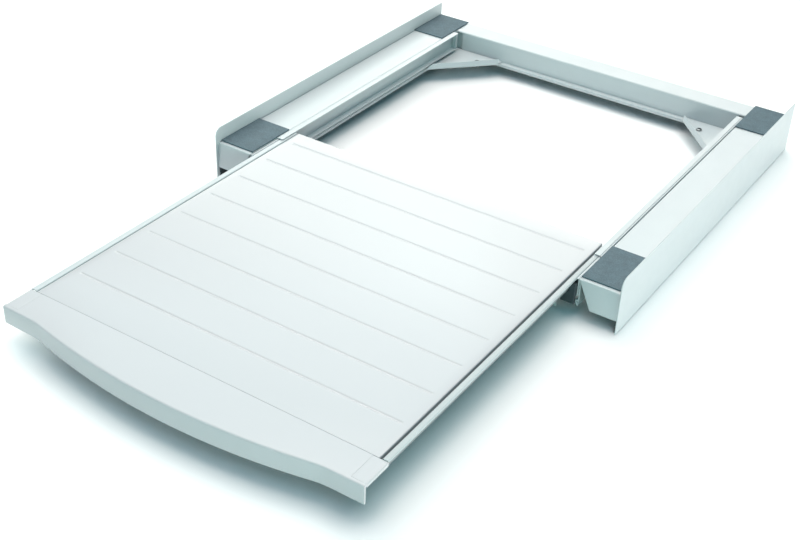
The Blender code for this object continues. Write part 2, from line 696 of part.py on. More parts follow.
def add_shelf_panel():
    """Grooved panel with side and rear skirts that stand on the moving runners' flanges."""
    low = flange_top + GAP
    skirt = shelf_half - SHELF_SHEET
    mesh = boxes_mesh("shelf_panel", [((-shelf_half, panel_front, low), (shelf_half, SHELF_REAR, shelf_top))])
    panel = add_piece("shelf_panel", mesh, white_plastic, shelf)
    hollow = boxes_mesh("shelf_panel_hollow", [((-skirt, panel_front - OVERRUN, low - OVERRUN),
                                                (skirt, SHELF_REAR - SHELF_SHEET, shelf_under))])
    combine(panel, add_cutter("shelf_panel_hollow", hollow, shelf), "DIFFERENCE")
    reach = shelf_half - GROOVE_END
    boxes = []
    for index in range(GROOVE_COUNT):
        middle = SHELF_REAR - (index + GROOVE_LAST_SHARE) * groove_pitch
        boxes.append(((-reach, middle - GROOVE_WIDTH / 2, shelf_top - GROOVE_DEPTH),
                      (reach, middle + GROOVE_WIDTH / 2, shelf_top + OVERRUN)))
    grooves = boxes_mesh("shelf_panel_grooves", boxes)
    combine(panel, add_cutter("shelf_panel_grooves", grooves, shelf), "DIFFERENCE")


def front_curve(inset):
    """Points of the shelf's front edge from left to right, moved inwards by an inset.

    Straight ends lead through a hollow arc on each side into one wide bulging arc.
    """
    fillet = FRONT_FILLET + inset
    wide = FRONT_RADIUS - inset
    edge = FRONT_EDGE + inset
    reach = math.sqrt(2 * FRONT_BULGE * (wide + fillet) - FRONT_BULGE ** 2)
    lean = math.asin(reach / (wide + fillet))
    wide_centre = edge - FRONT_BULGE + wide
    points = []
    for step in range(FRONT_FILLET_STEPS + 1):
        angle = lean * step / FRONT_FILLET_STEPS
        points.append((-reach + fillet * math.sin(angle), edge - fillet * (1 - math.cos(angle))))
    for step in range(1, FRONT_ARC_STEPS):
        angle = lean * (2 * step / FRONT_ARC_STEPS - 1)
        points.append((wide * math.sin(angle), wide_centre - wide * math.cos(angle)))
    return points + [(-across, along) for across, along in points[FRONT_FILLET_STEPS::-1]]


def lean_out(mesh):
    """Move the lower edge of a front outline's mesh outwards where the edge bulges."""
    work = bmesh.new()
    work.from_mesh(mesh)
    lowest = min(vertex.co.z for vertex in work.verts)
    for vertex in work.verts:
        bulge = max(0, FRONT_EDGE - vertex.co.y)
        if vertex.co.z < lowest + WELD_DISTANCE:
            vertex.co.y -= FRONT_LEAN * bulge / FRONT_BULGE
    bmesh.ops.triangulate(work, faces=work.faces)
    work.to_mesh(mesh)
    work.free()


def add_shelf_front():
    """Curved front piece: a top, a lip that hangs from it and two bosses on the moving runners."""
    name = "shelf_front"
    edge = FRONT_EDGE + FRONT_END_EASE
    outline = [(front_half, front_rear), (-front_half, front_rear), (-front_half, edge)]
    outline += front_curve(0) + [(front_half, edge)]
    front = extruded(name, outline, "Z", front_bottom, shelf_top, white_plastic, shelf)
    lean_out(front.data)
    beyond = front_half + OVERRUN
    edge += FRONT_SHEET
    inner = [(beyond, front_rear + OVERRUN), (-beyond, front_rear + OVERRUN), (-beyond, edge)]
    inner += front_curve(FRONT_SHEET) + [(beyond, edge)]
    hollow = extruded_cutter(name + "_hollow", inner, "Z", front_bottom - OVERRUN, shelf_under, shelf)
    lean_out(hollow.data)
    combine(front, hollow, "DIFFERENCE")
    corners = []
    bosses = []
    for side in (-1, 1):
        corners.append(((side * (corner_cap_inner - GAP), corner_cap_front - GAP, shelf_under - OVERRUN),
                        (side * beyond, front_rear + OVERRUN, shelf_top + OVERRUN)))
        inner_edge = side * (flange_edge + GAP)
        bosses.append(((inner_edge, boss_rear - BOSS_LENGTH, flange_top + GAP),
                       (inner_edge + side * BOSS_WIDTH, boss_rear, shelf_under + BOSS_OVERLAP)))
    combine(front, add_cutter(name + "_corners", boxes_mesh(name + "_corners", corners), shelf), "DIFFERENCE")
    combine(front, add_cutter(name + "_bosses", boxes_mesh(name + "_bosses", bosses), shelf), "UNION")
    places = [(side * shelf_screw_place, boss_middle, 0) for side in (-1, 1)]
    drill(front, places, "Z", SCREW_RADIUS + GAP, flange_top - OVERRUN,
          flange_under + SHELF_SCREW_IN + GAP, shelf)


def add_shelf_bars():
    """Two open channels across the shelf, between the flanges and the panel."""
    half = SHELF_BAR_SHEET / 2
    low = flange_top + GAP + half
    high = shelf_under - GAP
    reach = shelf_half - SHELF_SHEET - GAP
    for label, place in zip(("front", "rear"), shelf_bar_places):
        near = place - SHELF_BAR_WIDTH / 2
        far = place + SHELF_BAR_WIDTH / 2
        corners = [(near + half, high), (near + half, low), (far - half, low), (far - half, high)]
        bar = extruded("shelf_bar_" + label, folded_outline(corners, SHELF_BAR_SHEET), "X", -reach, reach,
                       zinc, shelf)
        drill(bar, [(side * shelf_screw_place, place, 0) for side in (-1, 1)], "Z", SCREW_RADIUS + GAP,
              low - OVERRUN, low + OVERRUN, shelf)


# What the rollers, their pins and the stops leave free between the two runners
front_collar = runner_web - GAP - strip_outer + RUNNER_SHEET + ROLLER_SIDE_CLEARANCE
rear_collar = runner_edge - moving_web_outer - GAP
travel_stop_rear = REAR_ROLLER_PLACE - GAP - math.sqrt(
    ROLLER_RADIUS ** 2 - (ROLLER_RADIUS - STOP_HEIGHT) ** 2)

clear_scene()
kit = new_collection("stacking_kit")
cutters = new_collection("cutters")
guides = new_collection("guides")
white_enamel = new_finish("white_enamel", (0.80, 0.84, 0.85), 0.45)
white_plastic = new_finish("white_plastic", (0.84, 0.87, 0.88), 0.50)
grey_plastic = new_finish("grey_plastic", (0.55, 0.60, 0.62), 0.50)
pad_foam = new_finish("pad_foam", (0.14, 0.20, 0.24), 0.85)
dark_rubber = new_finish("dark_rubber", (0.02, 0.03, 0.03), 0.80)
dark_plastic = new_finish("dark_plastic", (0.03, 0.04, 0.05), 0.55)
zinc = new_finish("zinc", (0.62, 0.64, 0.65), 0.35, 1.0)

front_most = FRONT_EDGE - FRONT_BULGE - FRONT_LEAN
origin = new_guide("kit_origin", (0, -(front_most + PANEL_LENGTH) / 2, 0))
shelf = new_guide("shelf_slide", (0, 0, 0), origin)
for side_label, side_sign in SIDES:
    add_side_panel(side_label, side_sign)
    add_rail(side_label, side_sign)
    add_pads(side_label, side_sign)
    add_gusset(side_label, side_sign, "rear", beam_face, -1)
    add_gusset(side_label, side_sign, "front", BAR_START + GUSSET_BAR_SHARE * BAR_DEPTH, 1)
    add_fixed_runner(side_label, side_sign)
    add_moving_runner(side_label, side_sign)
    add_rollers(side_label, side_sign)
add_rear_beam()
add_front_bar()
add_shelf_panel()
add_shelf_front()
add_shelf_bars()
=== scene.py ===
"""Looks of the stacking kit: coated sheet metal, a moulded pull-out shelf, foam pads and small fittings.

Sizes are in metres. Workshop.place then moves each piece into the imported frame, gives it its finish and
hangs it on the body that it rides on.
"""
from __future__ import annotations

import logging
import math
from dataclasses import dataclass, field
from enum import Enum
from typing import Sequence

import bmesh
import bpy
from mathutils import Matrix, Vector

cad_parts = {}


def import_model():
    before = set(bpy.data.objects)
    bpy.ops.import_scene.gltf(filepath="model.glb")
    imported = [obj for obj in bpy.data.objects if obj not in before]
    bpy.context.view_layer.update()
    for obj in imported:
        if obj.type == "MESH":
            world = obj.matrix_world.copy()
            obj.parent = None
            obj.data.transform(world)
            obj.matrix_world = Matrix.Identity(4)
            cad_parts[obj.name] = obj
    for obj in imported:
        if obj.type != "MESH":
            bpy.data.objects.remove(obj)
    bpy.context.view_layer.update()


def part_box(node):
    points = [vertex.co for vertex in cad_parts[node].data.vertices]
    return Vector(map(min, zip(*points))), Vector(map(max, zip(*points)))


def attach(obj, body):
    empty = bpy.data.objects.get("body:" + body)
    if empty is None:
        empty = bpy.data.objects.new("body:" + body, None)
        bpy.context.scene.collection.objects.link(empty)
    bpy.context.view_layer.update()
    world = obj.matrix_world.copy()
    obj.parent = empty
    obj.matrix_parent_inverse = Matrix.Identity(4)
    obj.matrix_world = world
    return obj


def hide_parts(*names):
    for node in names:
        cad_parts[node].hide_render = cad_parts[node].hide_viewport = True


log = logging.getLogger("stacking_kit")

Mesh = bpy.types.Mesh
Socket = bpy.types.NodeSocket
Pair = tuple[float, float]
Triple = tuple[float, float, float]
Colour = Triple
Station = tuple[Vector, Vector]

HALF = 0.5
QUARTER_TURN = math.pi / 2
SHARP_ANGLE = math.radians(35)
TINY = 1e-6
WHITEST = 0.98
# Places of the mix node's two colour inputs and of its colour output.
MIX_FIRST, MIX_SECOND, MIX_RESULT = 6, 7, 2


class Layout(Enum):
    @property
    def label(self) -> str:
        """Name as the pieces use it."""
        return self.name.lower()


class Side(Layout):
    LEFT = -1
    RIGHT = 1

    def mirrored(self, *reaches: float) -> list[float]:
        return sorted(self.value * reach for reach in reaches)

    def taken(self, points: Sequence[Sequence[float]]) -> list[tuple[float, ...]]:
        return [(self.value * reach, *rest) for reach, *rest in points]

    def slab(self, name: str, low: Triple, high: Triple) -> Mesh:
        near, far = self.mirrored(low[0], high[0])
        return slab(name, (near, *low[1:]), (far, *high[1:]))


class End(Layout):
    FRONT = 1
    REAR = -1


class Axis(Enum):
    """Axis that a flat outline is drawn out along.

    An outline's two numbers are (x, y) for Z, (x, z) for Y and (y, z) for X.
    """

    X = 0
    Y = 1
    Z = 2

    def point(self, first: float, second: float, along: float) -> Vector:
        """Place of an outline's point at a distance along the axis.

        Args:
            first: The outline's first number.
            second: The outline's second number.
            along: Distance along the axis.
        """
        places = [first, second]
        places.insert(self.value, along)
        return Vector(places)


class Body(Enum):
    """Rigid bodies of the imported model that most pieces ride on."""

    BASE = "base"
    SHELF = "shelf"


class Graph:
    """Small builder of a material's nodes around one principled shader."""

    def __init__(self, name: str) -> None:
        """Start a material with an empty surface.

        Args:
            name: The material's name.
        """
        self.material = bpy.data.materials.new(name)
        self.material.use_nodes = True
        self.tree = self.material.node_tree
        self.shader = self.tree.nodes["Principled BSDF"]
        self.coords = self.tree.nodes.new("ShaderNodeTexCoord").outputs["Object"]

    def put(self, target: Socket, value: Socket | float | Sequence[float]) -> None:
        """Link a socket to an input, or set the input to a plain value.

        Args:
            target: The input.
            value: The socket or the value.
        """
        if isinstance(value, Socket):
            self.tree.links.new(value, target)
        else:
            target.default_value = value

    def node(self, kind: str, output: str, **inputs: Socket | float | Sequence[float]) -> Socket:
        """Add a node.

        Args:
            kind: The node's type.
            output: The output that is wanted.
            inputs: What goes into its inputs, by name, with an underscore for a space.

        Returns:
            The output's socket.
        """
        node = self.tree.nodes.new(kind)
        for name, value in inputs.items():
            self.put(node.inputs[name.replace("_", " ")], value)
        return node.outputs[output]

    def noise(self, size: float, detail: float, rough: float = 0.5, vector: Socket | None = None) -> Socket:
        """Fractal noise from 0 to 1 whose features are about size across."""
        return self.node("ShaderNodeTexNoise", "Fac", Scale=1 / size, Detail=detail, Roughness=rough,
                         Vector=vector or self.coords)

    def cells(self, size: float) -> Socket:
        """Distance to the middle of the nearest of many irregular cells, as a share of their size."""
        return self.node("ShaderNodeTexVoronoi", "Distance", Scale=1 / size, Vector=self.coords)

    def spread(self, value: Socket, low: float, high: float, start: float = 0.3, stop: float = 0.7) -> Socket:
        """Map a value between start and stop onto low to high."""
        return self.node("ShaderNodeMapRange", "Result", From_Min=start, From_Max=stop, To_Min=low,
                         To_Max=high, Value=value)

    def blend(self, factor: Socket, colour: Colour, drift: float) -> Socket:
        """Mix a darker and a lighter shade of a colour.

        Args:
            factor: Share of the lighter shade.
            colour: The colour between them.
            drift: How far each shade is from it.

        Returns:
            The mixed colour.
        """
        node = self.tree.nodes.new("ShaderNodeMix")
        node.data_type = "RGBA"
        self.put(node.inputs[MIX_FIRST], (*tinted(colour, -drift), 1))
        self.put(node.inputs[MIX_SECOND], (*tinted(colour, drift), 1))
        self.put(node.inputs["Factor"], factor)
        return node.outputs[MIX_RESULT]

    def bump(self, value: Socket, height: float, **below: Socket) -> Socket:
        """Turn a value into relief of a height in metres, over a Normal where one is given."""
        return self.node("ShaderNodeBump", "Normal", Distance=height, Height=value, **below)


def tinted(colour: Colour, share: float) -> Colour:
    """A colour made lighter or, with a negative share, darker, and kept below full white."""
    red, green, blue = (min(WHITEST, part * (1 + share)) for part in colour)
    return red, green, blue


@dataclass(frozen=True)
class Finish:
    """What a surface looks like, and the record's slot that it belongs to."""

    name: str
    slot: str
    colour: Colour
    roughness: float
    metallic: float = 0.0
    tone_drift: float = 0.015
    tone_size: float = 0.09
    tone_detail: int = 3
    gloss_drift: float = 0.05
    gloss_size: float = 0.02
    gloss_detail: int = 5
    gloss_rough: float = 0.6
    relief: float = 0.00002
    relief_size: float = 0.0012
    relief_detail: int = 2

    def relief_normal(self, graph: Graph, **below: Socket) -> Socket:
        """Fine relief of the surface, over a Normal where one is given."""
        return graph.bump(graph.noise(self.relief_size, self.relief_detail), self.relief, **below)

    def tone(self, graph: Graph) -> Socket:
        """Slow drift of the colour over the surface."""
        drift = graph.spread(graph.noise(self.tone_size, self.tone_detail), 0, 1)
        return graph.blend(drift, self.colour, self.tone_drift)

    def material(self) -> bpy.types.Material:
        """Build the material.

        Returns:
            The new material.
        """
        graph = Graph(self.name)
        inputs = graph.shader.inputs
        gloss = graph.spread(graph.noise(self.gloss_size, self.gloss_detail, self.gloss_rough),
                             self.roughness - self.gloss_drift, self.roughness + self.gloss_drift)
        graph.put(inputs["Metallic"], self.metallic)
        graph.put(inputs["Base Color"], self.tone(graph))
        graph.put(inputs["Roughness"], gloss)
        graph.put(inputs["Normal"], self.relief_normal(graph))
        return graph.material


@dataclass(frozen=True)
class Enamel(Finish):
    """Baked white coating with a faint orange peel."""

    peel: float = 0.000010
    peel_size: float = 0.0035
    peel_detail: int = 1

    def relief_normal(self, graph: Graph, **below: Socket) -> Socket:
        """Fine grain lying on a slower peel."""
        peel = graph.bump(graph.noise(self.peel_size, self.peel_detail), self.peel, **below)
        return super().relief_normal(graph, Normal=peel)


@dataclass(frozen=True)
class Foam(Finish):
    """Closed-cell foam rubber: small cells, lighter skin between them and a mottled tone."""

    tone_detail: int = 6
    tone_rough: float = 0.7
    relief_detail: int = 3
    cell: float = 0.0016
    cell_middle: Pair = (0.1, 0.6)
    skin_share: float = 0.30

    def tone(self, graph: Graph) -> Socket:
        """Mottled colour with each cell's middle darker.

        Args:
            graph: The material's builder.

        Returns:
            The colour.
        """
        mottle = graph.noise(self.tone_size, self.tone_detail, self.tone_rough)
        total = graph.tree.nodes.new("ShaderNodeMath")
        graph.put(total.inputs[0], graph.spread(graph.cells(self.cell), HALF, 0, *self.cell_middle))
        graph.put(total.inputs[1], graph.spread(mottle, 0, HALF))
        return graph.blend(total.outputs[0], self.colour, self.skin_share)

    def relief_normal(self, graph: Graph, **below: Socket) -> Socket:
        """Cells over a soft unevenness."""
        soft = super().relief_normal(graph, **below)
        return graph.bump(graph.cells(self.cell), self.relief, Normal=soft)


@dataclass(frozen=True)
class Plating(Finish):
    """Zinc plating with fine drawn lines and a cloudy bloom."""

    line: float = 0.0004
    line_stretch: float = 30.0

    def relief_normal(self, graph: Graph, **below: Socket) -> Socket:
        """Fine lines that run along X."""
        lengthwise = graph.node("ShaderNodeMapping", "Vector", Scale=(1 / self.line_stretch, 1, 1),
                                Vector=graph.coords)
        return graph.bump(graph.noise(self.line, self.relief_detail, vector=lengthwise), self.relief, **below)


ENAMEL = Enamel("white_enamel", "white_enamel", (0.510, 0.552, 0.568), 0.34, tone_drift=0.008)
# Darker copy of the white enamel: painted shade for the strip on the right, which is the same white coating
# as the left one.
SHADED_STRIP_ENAMEL = Enamel("strip_enamel", "white_enamel", (0.435, 0.475, 0.488), 0.34, tone_drift=0.008)
# Darkened copy of the white enamel: painted shade for the moving runners, whose webs lie in the shade under
# the shelf's edges.
SHADED_SLIDE_ENAMEL = Enamel("slide_enamel", "white_enamel", (0.205, 0.228, 0.238), 0.40, tone_drift=0.02)
SHELF_WHITE = Finish("white_plastic", "white_plastic", (0.512, 0.518, 0.536), 0.22, relief=0.000008,
                     relief_size=0.0009, tone_drift=0.004, gloss_drift=0.012, gloss_size=0.05)
STOP_GREY = Finish("grey_plastic", "grey_plastic", (0.407, 0.444, 0.459), 0.5)
PAD_FOAM = Foam("pad_foam", "pad_foam", (0.092, 0.142, 0.168), 0.74, tone_size=0.010, relief=0.00012,
                relief_size=0.004)
FOOT_RUBBER = Finish("dark_rubber", "dark_rubber", (0.030, 0.042, 0.048), 0.75, relief=0.00003,
                     tone_drift=0.1)
BLOCK_BLACK = Finish("dark_plastic", "dark_plastic", (0.030, 0.045, 0.052), 0.48, tone_drift=0.08)
ZINC = Plating("zinc", "zinc", (0.62, 0.64, 0.65), 0.38, metallic=1.0, gloss_drift=0.08)
SCREW_STEEL = Plating("screw_steel", "zinc", (0.30, 0.32, 0.33), 0.42, metallic=1.0, gloss_drift=0.08)


def across(heading: Vector) -> Vector:
    """The direction a quarter turn to the left of a flat heading."""
    return Vector((-heading.y, heading.x))


def quarter(steps: int, first: int = 0) -> list[Pair]:
    """Sines and cosines of even steps through a quarter turn, from the step numbered first."""
    angles = [QUARTER_TURN * step / steps for step in range(first, steps + 1)]
    return [(math.sin(angle), math.cos(angle)) for angle in angles]


def arc(before: Vector, corner: Vector, after: Vector, radius: float, steps: int) -> list[Station]:
    """Round a corner of a flat line.

    Args:
        before: The line's point before the corner.
        corner: The corner.
        after: The line's point after the corner.
        radius: Radius of the arc.
        steps: Number of pieces in the arc.

    Returns:
        Points of the arc, each with the heading of the line there.
    """
    inward = (corner - before).normalized()
    outward = (after - corner).normalized()
    turn = math.atan2(inward.cross(outward), inward.dot(outward))
    reach = math.copysign(radius, turn)
    centre = corner - inward * radius * math.tan(abs(turn) * HALF) + across(inward) * reach
    headings = [Matrix.Rotation(turn * step / steps, 2) @ inward for step in range(steps + 1)]
    return [(centre - across(heading) * reach, heading) for heading in headings]


def rounded_path(corners: Sequence[Pair], radius: float, steps: int) -> list[Station]:
    """Points and headings of a line through corners, with an arc at each inner corner.

    Args:
        corners: The line's corners.
        radius: Radius of each arc.
        steps: Number of pieces in each arc.

    Returns:
        Each point with the heading of the line there.
    """
    line = [Vector(corner) for corner in corners]
    stations = [(line[0], (line[1] - line[0]).normalized())]
    for corner in zip(line, line[1:], line[2:]):
        stations += arc(*corner, radius, steps)
    return stations + [(line[-1], (line[-1] - line[-2]).normalized())]


def bridge(work: bmesh.types.BMesh, rings: Sequence[Sequence[bmesh.types.BMVert]],
           wrap: bool = True) -> None:
    """Fill the strips between neighbouring rings, or open rows, with faces.

    Args:
        work: The bmesh.
        rings: Rings with the same number of points each.
        wrap: False for rows, whose ends aren't joined.
    """
    count = len(rings[0]) - (0 if wrap else 1)
    for ring, following in zip(rings, rings[1:]):
        for index in range(count):
            turn = (index + 1) % len(ring)
            corners = (ring[index], ring[turn], following[turn], following[index])
            work.faces.new(tuple(dict.fromkeys(corners)))


def new_mesh(name: str, work: bmesh.types.BMesh) -> Mesh:
    """Turn a bmesh into a mesh whose faces look outwards, and free it.

    Args:
        name: The mesh's name.
        work: The bmesh.

    Returns:
        The mesh.
    """
    bmesh.ops.recalc_face_normals(work, faces=work.faces)
    mesh = bpy.data.meshes.new(name)
    work.to_mesh(mesh)
    work.free()
    return mesh


def loft(name: str, rings: Sequence[Sequence[Vector]]) -> Mesh:
    """Solid whose skin runs through rings of points, with a face at each end.

    Args:
        name: The mesh's name.
        rings: Rings with the same number of points each. Points that fall together become one.

    Returns:
        The mesh.
    """
    work = bmesh.new()
    skin = []
    for ring in rings:
        known = {place: work.verts.new(place) for place in dict.fromkeys(map(tuple, ring))}
        skin.append([known[tuple(point)] for point in ring])
    bridge(work, skin)
    for cap in (skin[0], skin[-1]):
        work.faces.new(cap)
    return new_mesh(name, work)


def linked(name: str, data: bpy.types.ID) -> bpy.types.Object:
    """Object that shows a mesh, a lamp or a camera in the scene.

    Args:
        name: The object's name.
        data: What it shows.

    Returns:
        The object.
    """
    item = bpy.data.objects.new(name, data)
    bpy.context.scene.collection.objects.link(item)
    return item


def settled(item: bpy.types.Object) -> Mesh:
    """Mesh of an object with its modifiers applied; the object is removed.

    Args:
        item: The object.

    Returns:
        The finished mesh.
    """
    bpy.context.view_layer.update()
    shown = item.evaluated_get(bpy.context.evaluated_depsgraph_get())
    mesh = bpy.data.meshes.new_from_object(shown)
    mesh.name = item.name
    bpy.data.objects.remove(item, do_unlink=True)
    return mesh


def carved(mesh: Mesh, *tools: Mesh) -> Mesh:
    """Cut shapes out of a mesh.

    Args:
        mesh: The mesh.
        tools: The shapes to cut out, which are removed.

    Returns:
        The cut mesh.
    """
    item = linked(mesh.name, mesh)
    helpers = [linked(tool.name, tool) for tool in tools]
    for helper in helpers:
        step = item.modifiers.new(helper.name, "BOOLEAN")
        step.operation = "DIFFERENCE"
        step.solver = "EXACT"
        step.object = helper
    result = settled(item)
    for helper in helpers:
        bpy.data.objects.remove(helper, do_unlink=True)
    return result


@dataclass(frozen=True)
class Folding:
    """How a sheet is folded: its thickness and the radius of its folds at mid-thickness."""

    sheet: float
    radius: float
    steps: int = 6

    @property
    def half(self) -> float:
        """Half of the sheet's thickness."""
        return self.sheet * HALF

    def sweep(self, name: str, corners: Sequence[Pair], axis: Axis, low: float, high: float,
              side: int = 1) -> Mesh:
        """Draw a folded section out along an axis.

        Args:
            name: The mesh's name.
            corners: Corners of the section's middle line.
            axis: Axis that the section is drawn out along.
            low: Where the piece starts along the axis.
            high: Where the piece ends along the axis.
            side: -1 to mirror the section's first number.

        Returns:
            The mesh, made of strips of four-sided faces.
        """
        rings = []
        for point, heading in rounded_path(corners, self.radius, self.steps):
            ring = []
            for offset, along in ((HALF, low), (HALF, high), (-HALF, high), (-HALF, low)):
                spot = point + across(heading) * self.sheet * offset
                ring.append(axis.point(side * spot.x, spot.y, along))
            rings.append(ring)
        return loft(name, rings)

    def skin(self, name: str, rows: Sequence[Sequence[Vector]], plate: Sequence[Vector] = ()) -> Mesh:
        """Give thickness to a surface that runs through rows of points.

        Args:
            name: The mesh's name.
            rows: Rows with the same number of points each.
            plate: Points of a flat plate that goes on from the first row.

        Returns:
            The mesh of the sheet.
        """
        work = bmesh.new()
        grid = [[work.verts.new(point) for point in row] for row in rows]
        bridge(work, grid, wrap=False)
        if plate:
            rim = [work.verts.new(point) for point in plate]
            work.faces.new((*rim, *reversed(grid[0])))
        item = linked(name, new_mesh(name, work))
        shell = item.modifiers.new("sheet", "SOLIDIFY")
        shell.thickness = self.sheet
        shell.offset = 0
        shell.use_even_offset = True
        shell.use_quality_normals = True
        return settled(item)


def prism(name: str, outline: Sequence[Pair], axis: Axis, low: float, high: float) -> Mesh:
    """Closed flat outline drawn out along an axis from low to high."""
    return loft(name, [[axis.point(*corner, along) for corner in outline] for along in (low, high)])


def rectangle(low: Sequence[float], high: Sequence[float]) -> list[Pair]:
    """Corners of the flat rectangle between two points."""
    return [(low[0], low[1]), (high[0], low[1]), (high[0], high[1]), (low[0], high[1])]


def slab(name: str, low: Triple, high: Triple) -> Mesh:
    """Block between two opposite corners, for cutting or for a plain plate."""
    return prism(name, rectangle(low, high), Axis.Z, low[2], high[2])


def turned(name: str, profile: Sequence[Pair], sides: int, closed: bool = False) -> Mesh:
    """Turn a profile of (radius, height) points about the Z axis.

    Args:
        name: The mesh's name.
        profile: The profile. A radius of 0 ends it on the axis.
        sides: Number of sides.
        closed: True for a ring, whose profile is a loop.

    Returns:
        The mesh.
    """
    work = bmesh.new()
    angles = [2 * math.pi * index / sides for index in range(sides)]
    rings = []
    for radius, height in profile:
        if radius:
            rings.append([work.verts.new((radius * math.cos(angle), radius * math.sin(angle), height))
                          for angle in angles])
        else:
            rings.append([work.verts.new((0, 0, height))] * sides)
    bridge(work, rings + rings[:1] if closed else rings)
    return new_mesh(name, work)


def stack(name: str, corners: Sequence[Pair], radius: float, foot: float, levels: Sequence[Pair],
          steps: int = 5) -> Mesh:
    """Upright block with rounded corners, built from level rings.

    Args:
        name: The mesh's name.
        corners: Corners of its outline seen from above.
        radius: Radius of its upright corners.
        foot: Height of its underside.
        levels: Rings from bottom to top, each as height above the foot and inset from the outline.
        steps: Number of pieces in each round corner.

    Returns:
        The mesh.
    """
    ring = [Vector(corner) for corner in corners]
    if sum(here.cross(following) for here, following in zip(ring, ring[1:] + ring[:1])) < 0:
        ring.reverse()
    loop: list[Station] = []
    for corner in zip(ring[-1:] + ring[:-1], ring, ring[1:] + ring[:1]):
        loop += arc(*corner, radius, steps)
    rings = []
    for height, inset in levels:
        spots = [point + across(heading) * inset for point, heading in loop]
        rings.append([Vector((spot.x, spot.y, foot + height)) for spot in spots])
    return loft(name, rings)


def stood(master: Mesh, name: str, seat: Sequence[float], out: Sequence[float]) -> Mesh:
    """Copy of an upright mesh, moved to a seat and turned to look out of it.

    Args:
        master: The upright mesh.
        name: The copy's name.
        seat: Where its foot goes.
        out: The direction that its top looks.

    Returns:
        The copy.
    """
    mesh = master.copy()
    mesh.name = name
    turn = Vector((0, 0, 1)).rotation_difference(Vector(out)).to_matrix().to_4x4()
    mesh.transform(Matrix.Translation(seat) @ turn)
    return mesh


@dataclass
class Workshop:
    """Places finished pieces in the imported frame."""

    shift: float
    materials: dict[str, bpy.types.Material] = field(default_factory=dict)
    count: int = 0

    def coat(self, finish: Finish) -> bpy.types.Material:
        """The finish's material, built once.

        Args:
            finish: The finish.

        Returns:
            Its material.
        """
        if finish.name not in self.materials:
            self.materials[finish.name] = finish.material()
        return self.materials[finish.name]

    def place(self, mesh: Mesh, finish: Finish, *nodes: str, body: str = Body.BASE.value,
              edge: float = 0.0, segments: int = 2) -> None:
        """Args:
            mesh: The mesh, named as the piece.
            finish: What it looks like.
            nodes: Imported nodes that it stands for.
            body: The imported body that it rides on.
            edge: Width of its rounded edges.
            segments: Number of pieces across each rounded edge.
        """
        mesh.transform(Matrix.Translation((0, self.shift, 0)))
        mesh.materials.clear()
        mesh.materials.append(self.coat(finish))
        mesh.polygons.foreach_set("use_smooth", [True] * len(mesh.polygons))
        mesh.set_sharp_from_angle(angle=SHARP_ANGLE)
        piece = linked(mesh.name, mesh)
        if edge:
            bevel = piece.modifiers.new("soft edges", "BEVEL")
            bevel.width = edge
            bevel.segments = segments
            bevel.limit_method = "ANGLE"
            bevel.angle_limit = SHARP_ANGLE
            bevel.use_clamp_overlap = True
            piece.modifiers.new("even shading", "WEIGHTED_NORMAL").keep_sharp = False
        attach(piece, body)
        if nodes:
            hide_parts(*nodes)
        self.count += 1
        log.info("%s rides on %s and stands for %s", piece.name, body, ", ".join(nodes) or "nothing else")


@dataclass
class SidePanels:
    """Tall outer sheets with a round front top corner."""

    length: float = 0.574
    foot: float = 0.001
    top: float = 0.0767
    inner: float = 0.3035
    outer: float = 0.305
    corner: float = 0.012
    corner_steps: int = 14
    edge: float = 0.00045

    def build(self, shop: Workshop) -> None:
        """Make both panels.

        Args:
            shop: Places the pieces.
        """
        outline = [(0, self.foot), (self.length, self.foot), (self.length, self.top)]
        for sine, cosine in quarter(self.corner_steps):
            outline.append((self.corner * (1 - sine), self.top - self.corner * (1 - cosine)))
        for side in Side:
            mesh = prism(f"side_sheet_{side.label}", outline, Axis.X, *side.mirrored(self.inner, self.outer))
            shop.place(mesh, ENAMEL, f"side_panel_{side.label}", edge=self.edge)


